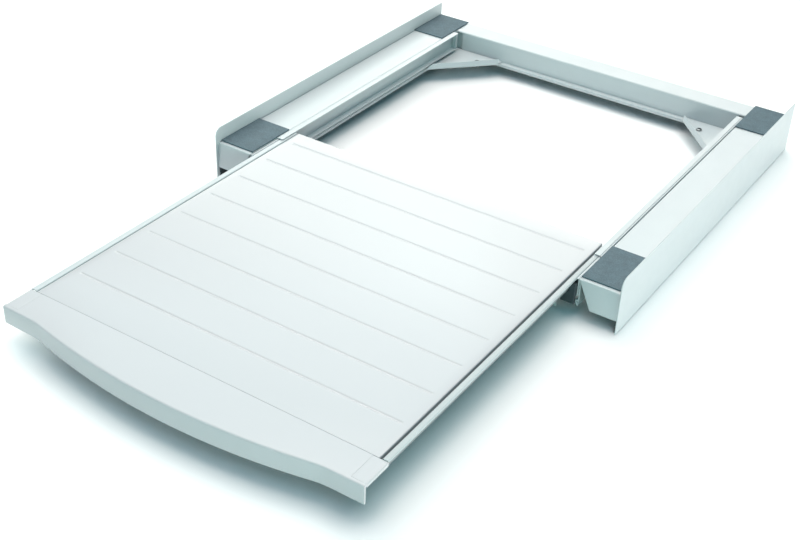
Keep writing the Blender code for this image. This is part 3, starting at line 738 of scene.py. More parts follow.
@dataclass
class Rails:
    """Hollow folded rails whose ends are closed by tapered tabs, with a low inner ledge."""

    folding: Folding = Folding(0.0015, 0.0015)
    end_folding: Folding = Folding(0.0015, 0.0012)
    inner: float = 0.2488
    outer: float = 0.3032
    floor_edge: float = 0.2677
    floor: float = 0.018
    top: float = 0.055
    wall_foot: float = 0.0212
    front: float = 0.0024
    rear: float = 0.5716
    tab_clearance: float = 0.0001
    tab_lap: float = 0.0006
    tab_slant: float = 0.0030
    tab_outer: float = 0.30345
    ledge_span: Pair = (0.008, 0.5348)
    ledge_fold: Folding = Folding(0.0015, 0.0016)
    ledge_top: float = 0.0234
    ledge_front: float = 0.2440
    lip_foot: float = 0.0155
    lip_lean: float = 0.0042
    edge: float = 0.0003

    def build(self, shop: Workshop) -> None:
        """Make both rails.

        Args:
            shop: Places the pieces.
        """
        half = self.folding.half
        corners = [(self.floor_edge, self.floor + half), (self.outer - half, self.floor + half),
                   (self.outer - half, self.top - half), (self.inner + half, self.top - half),
                   (self.inner + half, self.wall_foot)]
        bend = self.end_folding.radius + half + self.tab_lap + self.tab_slant
        level = self.ledge_top - half
        front = self.ledge_front + half
        line = [(self.inner - self.tab_clearance, level), (front, level),
                (front + self.lip_lean, self.lip_foot)]
        for side in Side:
            name = f"rail_{side.label}"
            body = self.folding.sweep(name + "_body", corners, Axis.Y, self.front + bend, self.rear - bend,
                                      side.value)
            shop.place(body, ENAMEL, name, edge=self.edge)
            for end in End:
                shop.place(self.end_tab(f"{name}_{end.label}_end", side, end, bend), ENAMEL, edge=self.edge)
            ledge = self.ledge_fold.sweep(f"{name}_ledge", line, Axis.Y, *self.ledge_span, side.value)
            shop.place(ledge, ENAMEL, edge=self.edge)

    def end_tab(self, name: str, side: Side, end: End, bend: float) -> Mesh:
        """Tapered tab that folds down over a rail's end.

        Args:
            name: The mesh's name.
            side: Which rail.
            end: Which end of it.
            bend: Room that the fold takes along the rail.

        Returns:
            The tab's mesh.
        """
        half = self.end_folding.half
        place = self.front if end is End.FRONT else self.rear
        line = [(bend, self.top - half), (half + self.tab_slant, self.top - half), (half, self.floor)]
        rows = []
        for point, _ in rounded_path(line, self.end_folding.radius, self.end_folding.steps):
            slope = (self.top - half - point.y) / (self.top - self.floor)
            inner = self.inner + slope * (self.floor_edge - self.inner)
            rows.append([Vector((side.value * reach, place + end.value * point.x, point.y))
                         for reach in (inner + self.tab_clearance, self.tab_outer)])
        return self.end_folding.skin(name, rows)


@dataclass
class Pads:
    """Foam pads on top of the rails, and ribbed rubber feet with a tongue along the side panel."""

    inner: float = 0.2488
    outer: float = 0.3032
    pad_length: float = 0.0817
    pad_starts: dict[End, float] = field(default_factory=lambda: {End.FRONT: 0.0101, End.REAR: 0.4903})
    pad_foot: float = 0.0553
    pad_corner: float = 0.0008
    pad_levels: tuple[Pair, ...] = ((0, 0.0003), (0.0003, 0), (0.0012, 0), (0.0016, 0.00012),
                                    (0.0018, 0.0003), (0.0019, 0.0006))
    foot_inner: float = 0.2684
    foot_outer: float = 0.3029
    foot_length: float = 0.080
    foot_tips: dict[End, float] = field(default_factory=lambda: {End.FRONT: 0.0042, End.REAR: 0.5698})
    tongue_inner: float = 0.3004
    tongue_length: float = 0.024
    foot_corner: float = 0.0010
    foot_levels: tuple[Pair, ...] = ((0, 0.0007), (0.0003, 0.0002), (0.0009, 0), (0.0070, 0),
                                     (0.0074, 0.0006), (0.0086, 0.0006), (0.0090, 0), (0.0168, 0),
                                     (0.0174, 0.0002), (0.0177, 0.0007))

    def build(self, shop: Workshop) -> None:
        """Make the four pads and the four feet.

        Args:
            shop: Places the pieces.
        """
        for side in Side:
            for end in End:
                label = f"{end.label}_{side.label}"
                start = self.pad_starts[end]
                corners = side.taken(rectangle((self.inner, start), (self.outer, start + self.pad_length)))
                pad = stack(f"foam_pad_{label}", corners, self.pad_corner, self.pad_foot, self.pad_levels)
                shop.place(pad, PAD_FOAM, f"top_pad_{label}")
                foot = stack(f"rubber_foot_{label}", self.foot_outline(side, end), self.foot_corner, 0,
                             self.foot_levels)
                shop.place(foot, FOOT_RUBBER, f"foot_pad_{label}")

    def foot_outline(self, side: Side, end: End) -> list[Pair]:
        """Outline of a foot seen from above.

        Args:
            side: Which side.
            end: Which end of the rail.

        Returns:
            Its six corners.
        """
        tip = self.foot_tips[end]
        shoulder = tip + end.value * self.tongue_length
        far = tip + end.value * self.foot_length
        return side.taken([(self.foot_outer, tip), (self.foot_outer, far), (self.foot_inner, far),
                           (self.foot_inner, shoulder), (self.tongue_inner, shoulder),
                           (self.tongue_inner, tip)])


@dataclass
class CrossPieces:
    """Rear beam with its low flange, and the low bar across the front."""

    folding: Folding = Folding(0.0015, 0.0015)
    half_width: float = 0.2485
    flange_half_width: float = 0.2429
    face: float = 0.5351
    rear: float = 0.572
    top: float = 0.055
    rear_foot: float = 0.003
    face_foot: float = 0.0212
    flange_front: float = 0.5275
    flange_fold: Folding = Folding(0.0015, 0.0014)
    flange_top: float = 0.0234
    lip_foot: float = 0.0165
    lip_lean: float = 0.0038
    slot_inner: float = 0.2375
    slot_heights: Pair = (0.0240, 0.0530)
    slot_depth: float = 0.0060
    bar_span: Pair = (0.008, 0.03875)
    bar_foot: float = 0.003
    bar_return: float = 0.012
    relief_inner: float = 0.2215
    relief_top: float = 0.0165
    seam: float = 0.0001
    edge: float = 0.0003

    def build(self, shop: Workshop) -> None:
        """Make the beam, its flange and the bar.

        Args:
            shop: Places the pieces.
        """
        half, sheet = self.folding.half, self.folding.sheet
        corners = [(self.rear - half, self.rear_foot), (self.rear - half, self.top - half),
                   (self.face + half, self.top - half), (self.face + half, self.face_foot)]
        beam = self.folding.sweep("rear_beam_body", corners, Axis.X, -self.half_width, self.half_width)
        start, stop = self.bar_span
        backing = self.face + self.slot_depth
        slot_foot, slot_top = self.slot_heights
        slots, reliefs = [], []
        for side in Side:
            slots.append(side.slab("slot", (self.slot_inner, self.face - sheet, slot_foot),
                                   (self.half_width + self.seam, self.face + sheet * 2, slot_top)))
            reliefs.append(side.slab("relief", (self.relief_inner, 0, 0),
                                     (self.half_width, start + sheet * 2, self.relief_top)))
            plate = side.slab(f"rear_beam_end_{side.label}",
                              (self.slot_inner - self.slot_depth, backing, self.face_foot),
                              (self.half_width, backing + sheet, slot_top))
            shop.place(plate, ENAMEL, edge=self.edge)
        shop.place(carved(beam, *slots), ENAMEL, "rear_beam", edge=self.edge)
        level = self.flange_top - half
        front = self.flange_front + half
        line = [(self.face - self.seam, level), (front, level), (front + self.lip_lean, self.lip_foot)]
        reach = (-self.flange_half_width, self.flange_half_width)
        flange = self.flange_fold.sweep("rear_beam_flange", line, Axis.X, *reach)
        shop.place(flange, ENAMEL, edge=self.edge)
        corners = [(start + half, self.bar_foot), (start + half, level), (stop - half, level),
                   (stop - half, self.bar_return)]
        bar = self.folding.sweep("front_bar_body", corners, Axis.X, *reach)
        shop.place(carved(bar, *reliefs), ENAMEL, "front_bar", edge=self.edge)


@dataclass(frozen=True)
class Screws:
    """Pan head screws with a cross recess, one master mesh for each size."""

    head: float
    radius: float
    shank: float
    length: float
    recess: float
    recess_depth: float
    sides: int = 28
    dome_steps: int = 6
    crown_share: float = 0.45
    dome_foot_share: float = 0.35
    rim_height_share: float = 0.12
    seat_share: float = 0.97
    slot_share: float = 0.26
    thread: float = 0.0008
    thread_depth_share: float = 0.12

    def master(self, name: str) -> Mesh:
        """A screw that stands on its seat at the origin, with its head upwards.

        Args:
            name: The mesh's name.

        Returns:
            The screw's mesh.
        """
        profile: list[Pair] = [(0, self.head)]
        for sine, cosine in quarter(self.dome_steps, first=1):
            out = self.crown_share + (1 - self.crown_share) * sine
            rise = self.dome_foot_share + (1 - self.dome_foot_share) * cosine
            profile.append((self.radius * out, self.head * rise))
        profile += [(self.radius, self.head * self.rim_height_share), (self.radius * self.seat_share, 0)]
        depth = 0.0
        while depth < self.length - self.thread * 2:
            profile += [(self.shank, -depth),
                        (self.shank * (1 - self.thread_depth_share), -depth - self.thread * HALF)]
            depth += self.thread
        profile += [(self.shank, -depth), (self.shank * HALF, -self.length), (0, -self.length)]
        width = self.recess * self.slot_share
        deep = self.head - self.recess_depth
        arms = [slab("recess", (-along, -wide, deep), (along, wide, self.head * 2))
                for along, wide in ((self.recess, width), (width, self.recess))]
        return carved(turned(name, profile, self.sides), *arms)


@dataclass
class Gussets:
    """Corner plates whose diagonal edge is folded up, each held by a screw."""

    folding: Folding = Folding(0.0012, 0.0012)
    lip_steps: int = 8
    corner_x: float = 0.2485
    bases: dict[End, float] = field(default_factory=lambda: {End.REAR: 0.5348, End.FRONT: 0.023675})
    along_beam: float = 0.0885
    along_rail: float = 0.1038
    beam_edge: float = 0.0152
    rail_edge: float = 0.0061
    level: float = 0.0243
    lip: float = 0.0081
    lean: float = 0.0036
    run_up: float = 0.0036
    beam_share: float = -0.02
    rail_share: float = 0.12
    screw_inset: Pair = (0.0567, 0.0277)
    screw_rise: float = 0.0003
    screw: Screws = Screws(0.0024, 0.0042, 0.002, 0.009, 0.0024, 0.0013)
    edge: float = 0.0003

    def build(self, shop: Workshop) -> None:
        """Make the four plates and their screws.

        Args:
            shop: Places the pieces.
        """
        master = self.screw.master("gusset_screw")
        seat_height = self.level + self.folding.half + self.screw_rise
        for side in Side:
            for end in End:
                label = f"{end.label}_{side.label}"
                shop.place(self.plate(f"gusset_{label}", side, end), ENAMEL, f"corner_gusset_{label}",
                           edge=self.edge)
                seat = self.spot(side, end, self.screw_inset, seat_height)
                screw = stood(master, f"gusset_fixing_{label}", seat, (0, 0, 1))
                shop.place(screw, SCREW_STEEL, f"gusset_screw_{label}")
        bpy.data.meshes.remove(master)

    def spot(self, side: Side, end: End, inset: Sequence[float], height: float) -> Vector:
        """Point at a height, given by its distances from the rail and from the cross piece."""
        in_x, in_y = inset
        return Vector((side.value * (self.corner_x - in_x), self.bases[end] + end.value * in_y, height))

    def plate(self, name: str, side: Side, end: End) -> Mesh:
        """Plate with its folded lip.

        Args:
            name: The mesh's name.
            side: Which side.
            end: Which end.

        Returns:
            The plate's mesh.
        """
        near = Vector((self.along_beam, self.beam_edge))
        far = Vector((self.rail_edge, self.along_rail))
        out = across((far - near).normalized())
        if out.dot(near) < 0:
            out = -out
        path = rounded_path([(-self.run_up, 0), (0, 0), (-self.lean, self.lip)], self.folding.radius,
                            self.lip_steps)
        rows = []
        for point, _ in path:
            rise = max(0.0, min(1.0, point.y / self.lip))
            left = near.lerp(far, self.beam_share * rise) + out * point.x
            right = far.lerp(near, self.rail_share * rise) + out * point.x
            rows.append([self.spot(side, end, inset, self.level + point.y) for inset in (right, left)])
        plate = [self.spot(side, end, inset, self.level)
                 for inset in ((0, self.along_rail), (0, 0), (self.along_beam, 0))]
        return self.folding.skin(name, rows, plate)


@dataclass
class FixedRunners:
    """Channels on the rails' inner walls, with their screws, black front caps and stops."""

    folding: Folding = Folding(0.0012, 0.0009)
    edge_x: float = 0.2389
    outer: float = 0.2485
    floor: float = 0.030
    top: float = 0.0564
    span: Pair = (0.006, 0.523)
    top_start: float = 0.0633
    front_top: float = 0.0543
    groove: Triple = (0.2462, 0.2472, 0.0555)
    brim: Triple = (0.2472, 0.2486, 0.0559)
    front_edge: float = 0.2450
    overrun: float = 0.004
    screw_places: Triple = (0.09906, 0.29035, 0.48164)
    screw_height: float = 0.050
    screw_seat: float = 0.2470
    screw: Screws = Screws(0.0010, 0.003, 0.0015, 0.007, 0.0017, 0.0006)
    cap_span: Pair = (0.0006, 0.0057)
    cap_outline: tuple[Pair, ...] = ((0.229, 0.020), (0.247, 0.020), (0.247, 0.0483), (0.2384, 0.0483),
                                     (0.2384, 0.0355), (0.229, 0.0355))
    cap_edge: float = 0.0008
    cap_segments: int = 3
    stop_low: Triple = (0.2403, 0.06999, 0.0315)
    stop_high: Triple = (0.2467, 0.07589, 0.0370)
    end_low: Triple = (0.2392, 0.5177, 0.0315)
    end_high: Triple = (0.2470, 0.523, 0.0549)
    block_corner: float = 0.0009
    edge: float = 0.00025

    def build(self, shop: Workshop) -> None:
        """Make both channels and what is fixed to them.

        Args:
            shop: Places the pieces.
        """
        half = self.folding.half
        corners = [(self.edge_x, self.floor + half), (self.outer - half, self.floor + half),
                   (self.outer - half, self.top - half), (self.edge_x, self.top - half)]
        start, stop = self.span
        above = self.top + self.overrun
        master = self.screw.master("runner_screw")
        for side in Side:
            channel = self.folding.sweep(f"channel_{side.label}", corners, Axis.Y, start, stop, side.value)
            cuts = [side.slab("notch", (self.edge_x - self.overrun, start - self.overrun, self.front_top),
                              (self.outer + self.overrun, self.top_start, above))]
            for near, far, floor in (self.groove, self.brim):
                cuts.append(side.slab("groove", (near, self.top_start, floor),
                                      (far, stop + self.overrun, above)))
            shop.place(carved(channel, *cuts), ENAMEL, f"fixed_runner_{side.label}")
            shoulder = side.slab(f"channel_shoulder_{side.label}",
                                 (self.front_edge, start, self.front_top - self.folding.sheet),
                                 (self.outer - half, self.top_start, self.front_top))
            shop.place(shoulder, ENAMEL, edge=self.edge)
            for index, place in enumerate(self.screw_places, start=1):
                seat = (side.value * self.screw_seat, place, self.screw_height)
                screw = stood(master, f"channel_fixing_{index}_{side.label}", seat, (-side.value, 0, 0))
                shop.place(screw, ZINC, f"runner_screw_{index}_{side.label}")
            self.fittings(shop, side)
        bpy.data.meshes.remove(master)

    def fittings(self, shop: Workshop, side: Side) -> None:
        """Make the front cap, the travel stop and the end stop of one channel.

        Args:
            shop: Places the pieces.
            side: Which side.
        """
        cap = prism(f"front_block_{side.label}", side.taken(self.cap_outline), Axis.Y, *self.cap_span)
        shop.place(cap, BLOCK_BLACK, f"runner_front_cap_{side.label}", edge=self.cap_edge,
                   segments=self.cap_segments)
        rim = self.block_corner * HALF
        for name, node, low, high, finish in (
                ("travel_bumper", "travel_stop", self.stop_low, self.stop_high, BLOCK_BLACK),
                ("end_bumper", "runner_end_stop", self.end_low, self.end_high, STOP_GREY)):
            height = high[2] - low[2]
            levels = [(0, rim), (rim, 0), (height - rim, 0), (height, rim)]
            block = stack(f"{name}_{side.label}", side.taken(rectangle(low, high)), self.block_corner, low[2],
                          levels)
            shop.place(block, finish, f"{node}_{side.label}")


@dataclass(frozen=True)
class RollerSet:
    """Rollers with a recessed hub, and the riveted pins that carry them."""

    width: float
    recess: float
    foot_collar: float
    radius: float = 0.0083
    bore: float = 0.0025
    hub: float = 0.0042
    rim: float = 0.0070
    tread_edge: float = 0.0006
    pin: float = 0.0022
    collar_radius: float = 0.0034
    collar: float = 0.0006
    crown_shares: Pair = (0.5, 0.85)
    round_share: float = 0.3
    play: float = 0.0003
    sides: int = 48

    def wheel(self, name: str) -> Mesh:
        """Roller with its axle along Z.

        Args:
            name: The mesh's name.

        Returns:
            The roller's mesh.
        """
        half = self.width * HALF
        floor = half - self.recess
        shy = self.tread_edge * self.round_share
        upper: list[Pair] = [(self.bore, half), (self.hub, half), (self.hub + self.recess, floor),
                             (self.rim - self.recess, floor), (self.rim, half),
                             (self.radius - self.tread_edge, half), (self.radius - shy, half - shy),
                             (self.radius, half - self.tread_edge)]
        profile = upper + [(radius, -height) for radius, height in reversed(upper)]
        return turned(name, profile, self.sides, closed=True)

    def axle(self, name: str) -> Mesh:
        """Pin that stands on its foot at the origin, with a domed head.

        Args:
            name: The mesh's name.

        Returns:
            The pin's mesh.
        """
        wide = self.collar_radius
        top = self.foot_collar + self.play + self.width + self.play
        head = top + self.collar
        shy = self.collar * self.round_share
        flat, crown = self.crown_shares
        profile = [(0, head), (wide * flat, head), (wide * crown, head - shy), (wide, top + shy), (wide, top),
                   (self.pin, top), (self.pin, self.foot_collar), (wide, self.foot_collar), (wide, 0), (0, 0)]
        return turned(name, profile, self.sides)


@dataclass
class Rollers:
    """Front rollers on the fixed runners and rear rollers on the moving ones."""

    front: RollerSet = RollerSet(0.0038, 0.0004, 0.0040)
    rear: RollerSet = RollerSet(0.0060, 0.0006, 0.0011)
    front_place: Triple = (0.2408, 0.016, 0.0446)
    rear_place: Triple = (0.2422, 0.084, 0.0398)
    front_foot: float = 0.2470
    rear_foot: float = 0.2378

    def build(self, shop: Workshop) -> None:
        """Make the four rollers and their pins.

        Args:
            shop: Places the pieces.
        """
        for side in Side:
            for label, kind, place, foot, out, body in (
                    ("front", self.front, self.front_place, self.front_foot, -1, Body.BASE),
                    ("rear", self.rear, self.rear_place, self.rear_foot, 1, Body.SHELF)):
                name = f"{label}_roller_{side.label}"
                seat, pin_seat, aim = side.taken((place, (foot, *place[1:]), (out, 0, 0)))
                wheel = stood(kind.wheel("wheel"), f"{label}_wheel_{side.label}", seat, aim)
                shop.place(wheel, BLOCK_BLACK, name, body=name)
                axle = stood(kind.axle("axle"), f"{label}_axle_{side.label}", pin_seat, aim)
                shop.place(axle, ZINC, f"{label}_pin_{side.label}", body=body.value)


@dataclass
class MovingRunners:
    """Runners under the shelf's edges, and the light strips on them that show beside the shelf."""

    folding: Folding = Folding(0.0012, 0.0009)
    strip_fold: Folding = Folding(0.0010, 0.0008)
    strip_outer: float = 0.2445
    strip_inners: Pair = (0.2366, 0.2378)
    strip_top: float = 0.0544
    web_inner: float = 0.2363
    web_top: float = 0.0516
    ledge_outer: float = 0.2386
    flange_edge: float = 0.219
    flange_foot: float = 0.036
    span: Pair = (-0.424, 0.093)
    notch_end: float = -0.3867
    notch_foot: float = 0.0448
    notch_web: float = 0.2380
    overrun: float = 0.004
    screw_places: Triple = (-0.4043, -0.28066, 0.02782)
    screw_x: float = 0.22465
    screw_seat: float = 0.0357
    screw: Screws = Screws(0.0020, 0.003, 0.0015, 0.0056, 0.0018, 0.0010)
    edge: float = 0.0003

    def build(self, shop: Workshop) -> None:
        """Make both runners, their strips and the screws that hold the shelf.

        Args:
            shop: Places the pieces.
        """
        half, thin = self.folding.half, self.strip_fold.half
        web = self.web_inner + half
        corners = [(self.ledge_outer, self.web_top + half), (web, self.web_top + half),
                   (web, self.flange_foot + half), (self.flange_edge, self.flange_foot + half)]
        rim = self.strip_top - thin
        outer = self.strip_outer - thin
        shelf = Body.SHELF.value
        master = self.screw.master("shelf_screw")
        # The left strip has the plain white enamel; the right strip's darker enamel is painted shade.
        for side, edge_x, finish in zip(Side, self.strip_inners, (ENAMEL, SHADED_STRIP_ENAMEL)):
            runner = self.folding.sweep(f"slide_{side.label}", corners, Axis.Y, *self.span, side.value)
            notch = side.slab("notch", (self.notch_web, self.span[0] - self.overrun, self.notch_foot),
                              (self.strip_outer + self.overrun, self.notch_end, self.strip_top))
            # The runner's dark enamel is painted shade, not a different coating.
            shop.place(carved(runner, notch), SHADED_SLIDE_ENAMEL, f"moving_runner_{side.label}", body=shelf,
                       edge=self.edge)
            inner = edge_x + thin
            outline = [(outer, self.web_top), (outer, rim), (inner, rim), (inner, self.web_top)]
            strip = self.strip_fold.sweep(f"slide_strip_{side.label}", outline, Axis.Y, self.notch_end,
                                          self.span[1], side.value)
            shop.place(strip, finish, body=shelf)
            for index, place in enumerate(self.screw_places, start=1):
                seat = (side.value * self.screw_x, place, self.screw_seat)
                screw = stood(master, f"shelf_fixing_{index}_{side.label}", seat, (0, 0, -1))
                shop.place(screw, ZINC, f"shelf_screw_{index}_{side.label}", body=shelf)
        bpy.data.meshes.remove(master)


@dataclass
class ShelfPanel:
    """Moulded panel: soft grooves across its top, rounded edges and skirts underneath."""

    half_width: float = 0.2351
    sidestep: float = -0.0010
    front: float = -0.3867
    rear: float = 0.0953
    top: float = 0.0532
    sheet: float = 0.0025
    skirt_foot: float = 0.0375
    nick_share: float = 0.15
    edge_radius: float = 0.0012
    edge_steps: int = 5
    columns: Pair = (0.15, 0.075)
    groove_count: int = 8
    groove_first: float = 0.066929
    groove_pitch: float = 0.0567412
    groove_reach: float = 0.2246
    groove_half: float = 0.0026
    groove_depth: float = 0.0007
    groove_fade: float = 0.0030
    fade_steps: int = 5
    groove_steps: int = 8
    groove_rest: float = 0.0004

    def groove(self, across_x: float, along_y: float) -> float:
        """Depth of the grooves at a place on the top.

        Args:
            across_x: Place across the shelf.
            along_y: Place along the shelf.

        Returns:
            How far the surface lies below the top.
        """
        index = round((self.groove_first - along_y) / self.groove_pitch)
        offset = abs(along_y - (self.groove_first - index * self.groove_pitch)) / self.groove_half
        if not 0 <= index < self.groove_count or offset >= 1:
            return 0.0
        shape = (1 + math.cos(math.pi * offset)) * HALF
        fade = max(0.0, min(1.0, (self.groove_reach - abs(across_x)) / self.groove_fade))
        return self.groove_depth * shape * math.sin(QUARTER_TURN * fade)

    def stations_along(self) -> list[float]:
        """Places along the shelf where the top's mesh has a row.

        Returns:
            The places, from the front to the rear.
        """
        low, high = self.front + self.edge_radius, self.rear - self.edge_radius
        places = {low, high}
        for index in range(self.groove_count):
            middle = self.groove_first - index * self.groove_pitch
            places.add(middle + self.groove_pitch * HALF)
            places |= {middle + hand * (self.groove_half + self.groove_rest) for hand in (-1, 1)}
            for step in range(-self.groove_steps, self.groove_steps + 1):
                places.add(middle + self.groove_half * step / self.groove_steps)
        return sorted(place for place in places if low <= place <= high)

    def stations_across(self) -> list[float]:
        """Places across the shelf where the top's mesh has a column.

        Returns:
            The places, from left to right.
        """
        right = {self.half_width - self.edge_radius, self.groove_reach + self.groove_rest, *self.columns}
        for step in range(self.fade_steps + 1):
            right.add(self.groove_reach - self.groove_fade * step / self.fade_steps)
        return sorted({-place for place in right} | right | {0.0})

    def side_levels(self) -> list[Triple]:
        """Steps from the top's rim round the edge and down and up the skirt.

        Returns:
            How far each lies outside the rim, below the top, and below the top at the front edge.
        """
        levels: list[Triple] = []
        for sine, cosine in quarter(self.edge_steps, first=1):
            fall = self.edge_radius * (1 - cosine)
            levels.append((self.edge_radius * sine, fall, fall))
        deep = self.top - self.skirt_foot
        nick = self.sheet * self.nick_share
        inner = self.edge_radius - self.sheet
        return levels + [(self.edge_radius, deep - nick, self.sheet - nick),
                         (self.edge_radius - nick, deep, self.sheet), (inner + nick, deep, self.sheet),
                         (inner, deep - nick, self.sheet), (inner, self.sheet, self.sheet)]

    def build(self, shop: Workshop) -> None:
        """Make the panel: top with grooves, rounded edges, skirts and underside, as one closed surface.

        Args:
            shop: Places the piece.
        """
        work = bmesh.new()
        grid = [[work.verts.new((x, y, self.top - self.groove(x, y))) for x in self.stations_across()]
                for y in self.stations_along()]
        bridge(work, grid, wrap=False)
        rim = (grid[0][:-1] + [row[-1] for row in grid[:-1]] + grid[-1][:0:-1]
               + [row[0] for row in grid[:0:-1]])
        middle = (self.front + self.rear) * HALF
        reach_x = self.half_width - self.edge_radius - TINY
        reach_y = (self.rear - self.front) * HALF - self.edge_radius - TINY
        rings = [rim]
        for out, fall, front_fall in self.side_levels():
            ring = []
            for corner in rim:
                x, offset = corner.co.x, corner.co.y - middle
                side_x = math.copysign(1, x) if abs(x) > reach_x else 0
                side_y = math.copysign(1, offset) if abs(offset) > reach_y else 0
                drop = front_fall if side_y < 0 and side_x == 0 else fall
                ring.append(work.verts.new((x + side_x * out, corner.co.y + side_y * out, self.top - drop)))
            rings.append(ring)
        bridge(work, rings)
        work.faces.new(rings[-1])
        mesh = new_mesh("shelf_top", work)
        mesh.transform(Matrix.Translation((self.sidestep, 0, 0)))
        shop.place(mesh, SHELF_WHITE, "shelf_panel", body=Body.SHELF.value)


@dataclass
class ShelfFront:
    """Bowed front moulding with a round nose and a lip that leans out, and its corner caps."""

    half_width: float = 0.2455
    rear: float = -0.3869
    edge_y: float = -0.4286
    bulge: float = 0.0204
    wide: float = 0.942
    fillet: float = 0.120
    lean: float = 0.003
    end_ease: float = 0.0004
    top: float = 0.0532
    foot: float = 0.0299
    sheet: float = 0.0025
    rim_share: float = 0.25
    rim_round: float = 0.3
    nose: float = 0.0022
    nose_steps: int = 7
    stations: int = 150
    cap_inner: float = 0.227
    cap_front: float = -0.4237
    cap_seam: float = 0.0001
    cap_rear: float = -0.38715
    cap_top: float = 0.0533
    cap_foot: float = 0.0488
    cap_folding: Folding = Folding(0.0012, 0.0012)
    pocket_low: Triple = (0.2384, -0.4125, 0.0488)
    pocket_high: Triple = (0.2432, -0.4035, 0.0530)
    boss_low: Pair = (0.2193, -0.4153)
    boss_high: Pair = (0.2338, -0.3933)
    boss_foot: float = 0.0375
    boss_sink: float = 0.0006
    boss_corner: float = 0.002
    boss_chamfer: float = 0.0004
    overrun: float = 0.004
    edge: float = 0.00025

    def curve(self, across_x: float) -> Pair:
        """Front edge at a place across the shelf.

        Args:
            across_x: Place across the shelf.

        Returns:
            The edge's Y and its slope there.
        """
        span = self.wide + self.fillet
        reach = math.sqrt(2 * self.bulge * span - self.bulge ** 2)
        place = abs(across_x)
        if place <= reach * self.wide / span:
            fall = math.sqrt(self.wide ** 2 - place ** 2)
            return self.edge_y - self.bulge + self.wide - fall, across_x / fall
        if place >= reach:
            slope = self.end_ease / (self.half_width - reach)
            return self.edge_y + slope * (place - reach), math.copysign(slope, across_x)
        rise = math.sqrt(self.fillet ** 2 - (reach - place) ** 2)
        return self.edge_y - self.fillet + rise, math.copysign((reach - place) / rise, across_x)

    def section(self, across_x: float) -> list[Vector]:
        """Closed section of the moulding at a place across the shelf.

        Args:
            across_x: Place across the shelf.

        Returns:
            The section's points, from the top's rear edge round the nose and back underneath.
        """
        along, slope = self.curve(across_x)
        inward = Vector((-slope, 1)).normalized()
        share = max(0.0, (self.edge_y - along) / self.bulge)
        rim = self.sheet * self.rim_share
        shy = rim * self.rim_round
        under = self.top - self.sheet
        outline = [(self.nose * (1 - sine), self.top - self.nose * (1 - cosine))
                   for sine, cosine in quarter(self.nose_steps)]
        outline += [(0, self.foot + rim), (shy, self.foot + shy), (rim, self.foot),
                    (self.sheet - rim, self.foot), (self.sheet - shy, self.foot + shy),
                    (self.sheet, self.foot + rim), (self.sheet, under - rim), (self.sheet + rim, under)]
        points = [Vector((across_x, self.rear, self.top))]
        for inset, level in outline:
            push = self.lean * share * (self.top - level) / (self.top - self.foot)
            x = max(-self.half_width, min(self.half_width, across_x + inward.x * inset))
            points.append(Vector((x, along + inward.y * inset - push, level)))
        return points + [Vector((across_x, self.rear, under))]

    def build(self, shop: Workshop) -> None:
        """Make the moulding, its bosses and its corner caps.

        Args:
            shop: Places the pieces.
        """
        places = [self.half_width * (2 * index / self.stations - 1) for index in range(self.stations + 1)]
        nose = loft("shelf_nose", [self.section(place) for place in places])
        room_low = (self.cap_inner - self.cap_seam, self.cap_front - self.cap_seam,
                    self.top - self.sheet - self.overrun)
        room_high = tuple(place + self.overrun for place in (self.half_width, self.rear, self.top))
        rooms = [side.slab("cap_room", room_low, room_high) for side in Side]
        shelf = Body.SHELF.value
        shop.place(carved(nose, *rooms), SHELF_WHITE, "shelf_front", body=shelf)
        outer = self.half_width - self.cap_folding.half
        level = self.cap_top - self.cap_folding.half
        line = [(outer, self.cap_foot), (outer, level), (self.cap_inner, level)]
        height = self.top - self.sheet - self.boss_sink - self.boss_foot
        rim = self.boss_chamfer
        for side in Side:
            cap = self.cap_folding.sweep(f"corner_cap_{side.label}", line, Axis.Y, self.cap_front,
                                         self.cap_rear, side.value)
            pocket = side.slab("pocket", self.pocket_low, self.pocket_high)
            shop.place(carved(cap, pocket), SHELF_WHITE, f"shelf_corner_cap_{side.label}", body=shelf,
                       edge=self.edge)
            outline = side.taken(rectangle(self.boss_low, self.boss_high))
            boss = stack(f"shelf_boss_{side.label}", outline, self.boss_corner, self.boss_foot,
                         ((0, rim), (rim, 0), (height, 0)))
            shop.place(boss, SHELF_WHITE, body=shelf)


@dataclass
class ShelfBars:
    """Open channels that stiffen the shelf from below."""

    folding: Folding = Folding(0.0012, 0.0012)
    half_reach: float = 0.2314
    width: float = 0.0315
    places: dict[End, float] = field(default_factory=lambda: {End.FRONT: -0.28066, End.REAR: 0.02782})
    foot: float = 0.0375
    rim: float = 0.0504
    edge: float = 0.00025

    def build(self, shop: Workshop) -> None:
        """Make both channels.

        Args:
            shop: Places the pieces.
        """
        half = self.folding.half
        for end, place in self.places.items():
            near = place - self.width * HALF + half
            far = place + self.width * HALF - half
            corners = [(near, self.rim), (near, self.foot + half), (far, self.foot + half), (far, self.rim)]
            bar = self.folding.sweep(f"stiffener_{end.label}", corners, Axis.X, -self.half_reach,
                                     self.half_reach)
            shop.place(bar, ZINC, f"shelf_bar_{end.label}", body=Body.SHELF.value, edge=self.edge)


@dataclass(frozen=True)
class Lamp:
    """One soft area light."""

    name: str
    place: Triple
    size: Pair
    power: float
    colour: Colour
    target: Triple = (0, 0, 0)

    def hang(self) -> None:
        """Put the light in the scene."""
        data = bpy.data.lights.new(self.name, "AREA")
        data.shape = "RECTANGLE"
        data.size, data.size_y = self.size
        data.energy = self.power
        data.color = self.colour
        lamp = linked(self.name, data)
        lamp.location = self.place
        aim = Vector(self.target) - Vector(self.place)
        lamp.rotation_euler = aim.to_track_quat("-Z", "Y").to_euler()


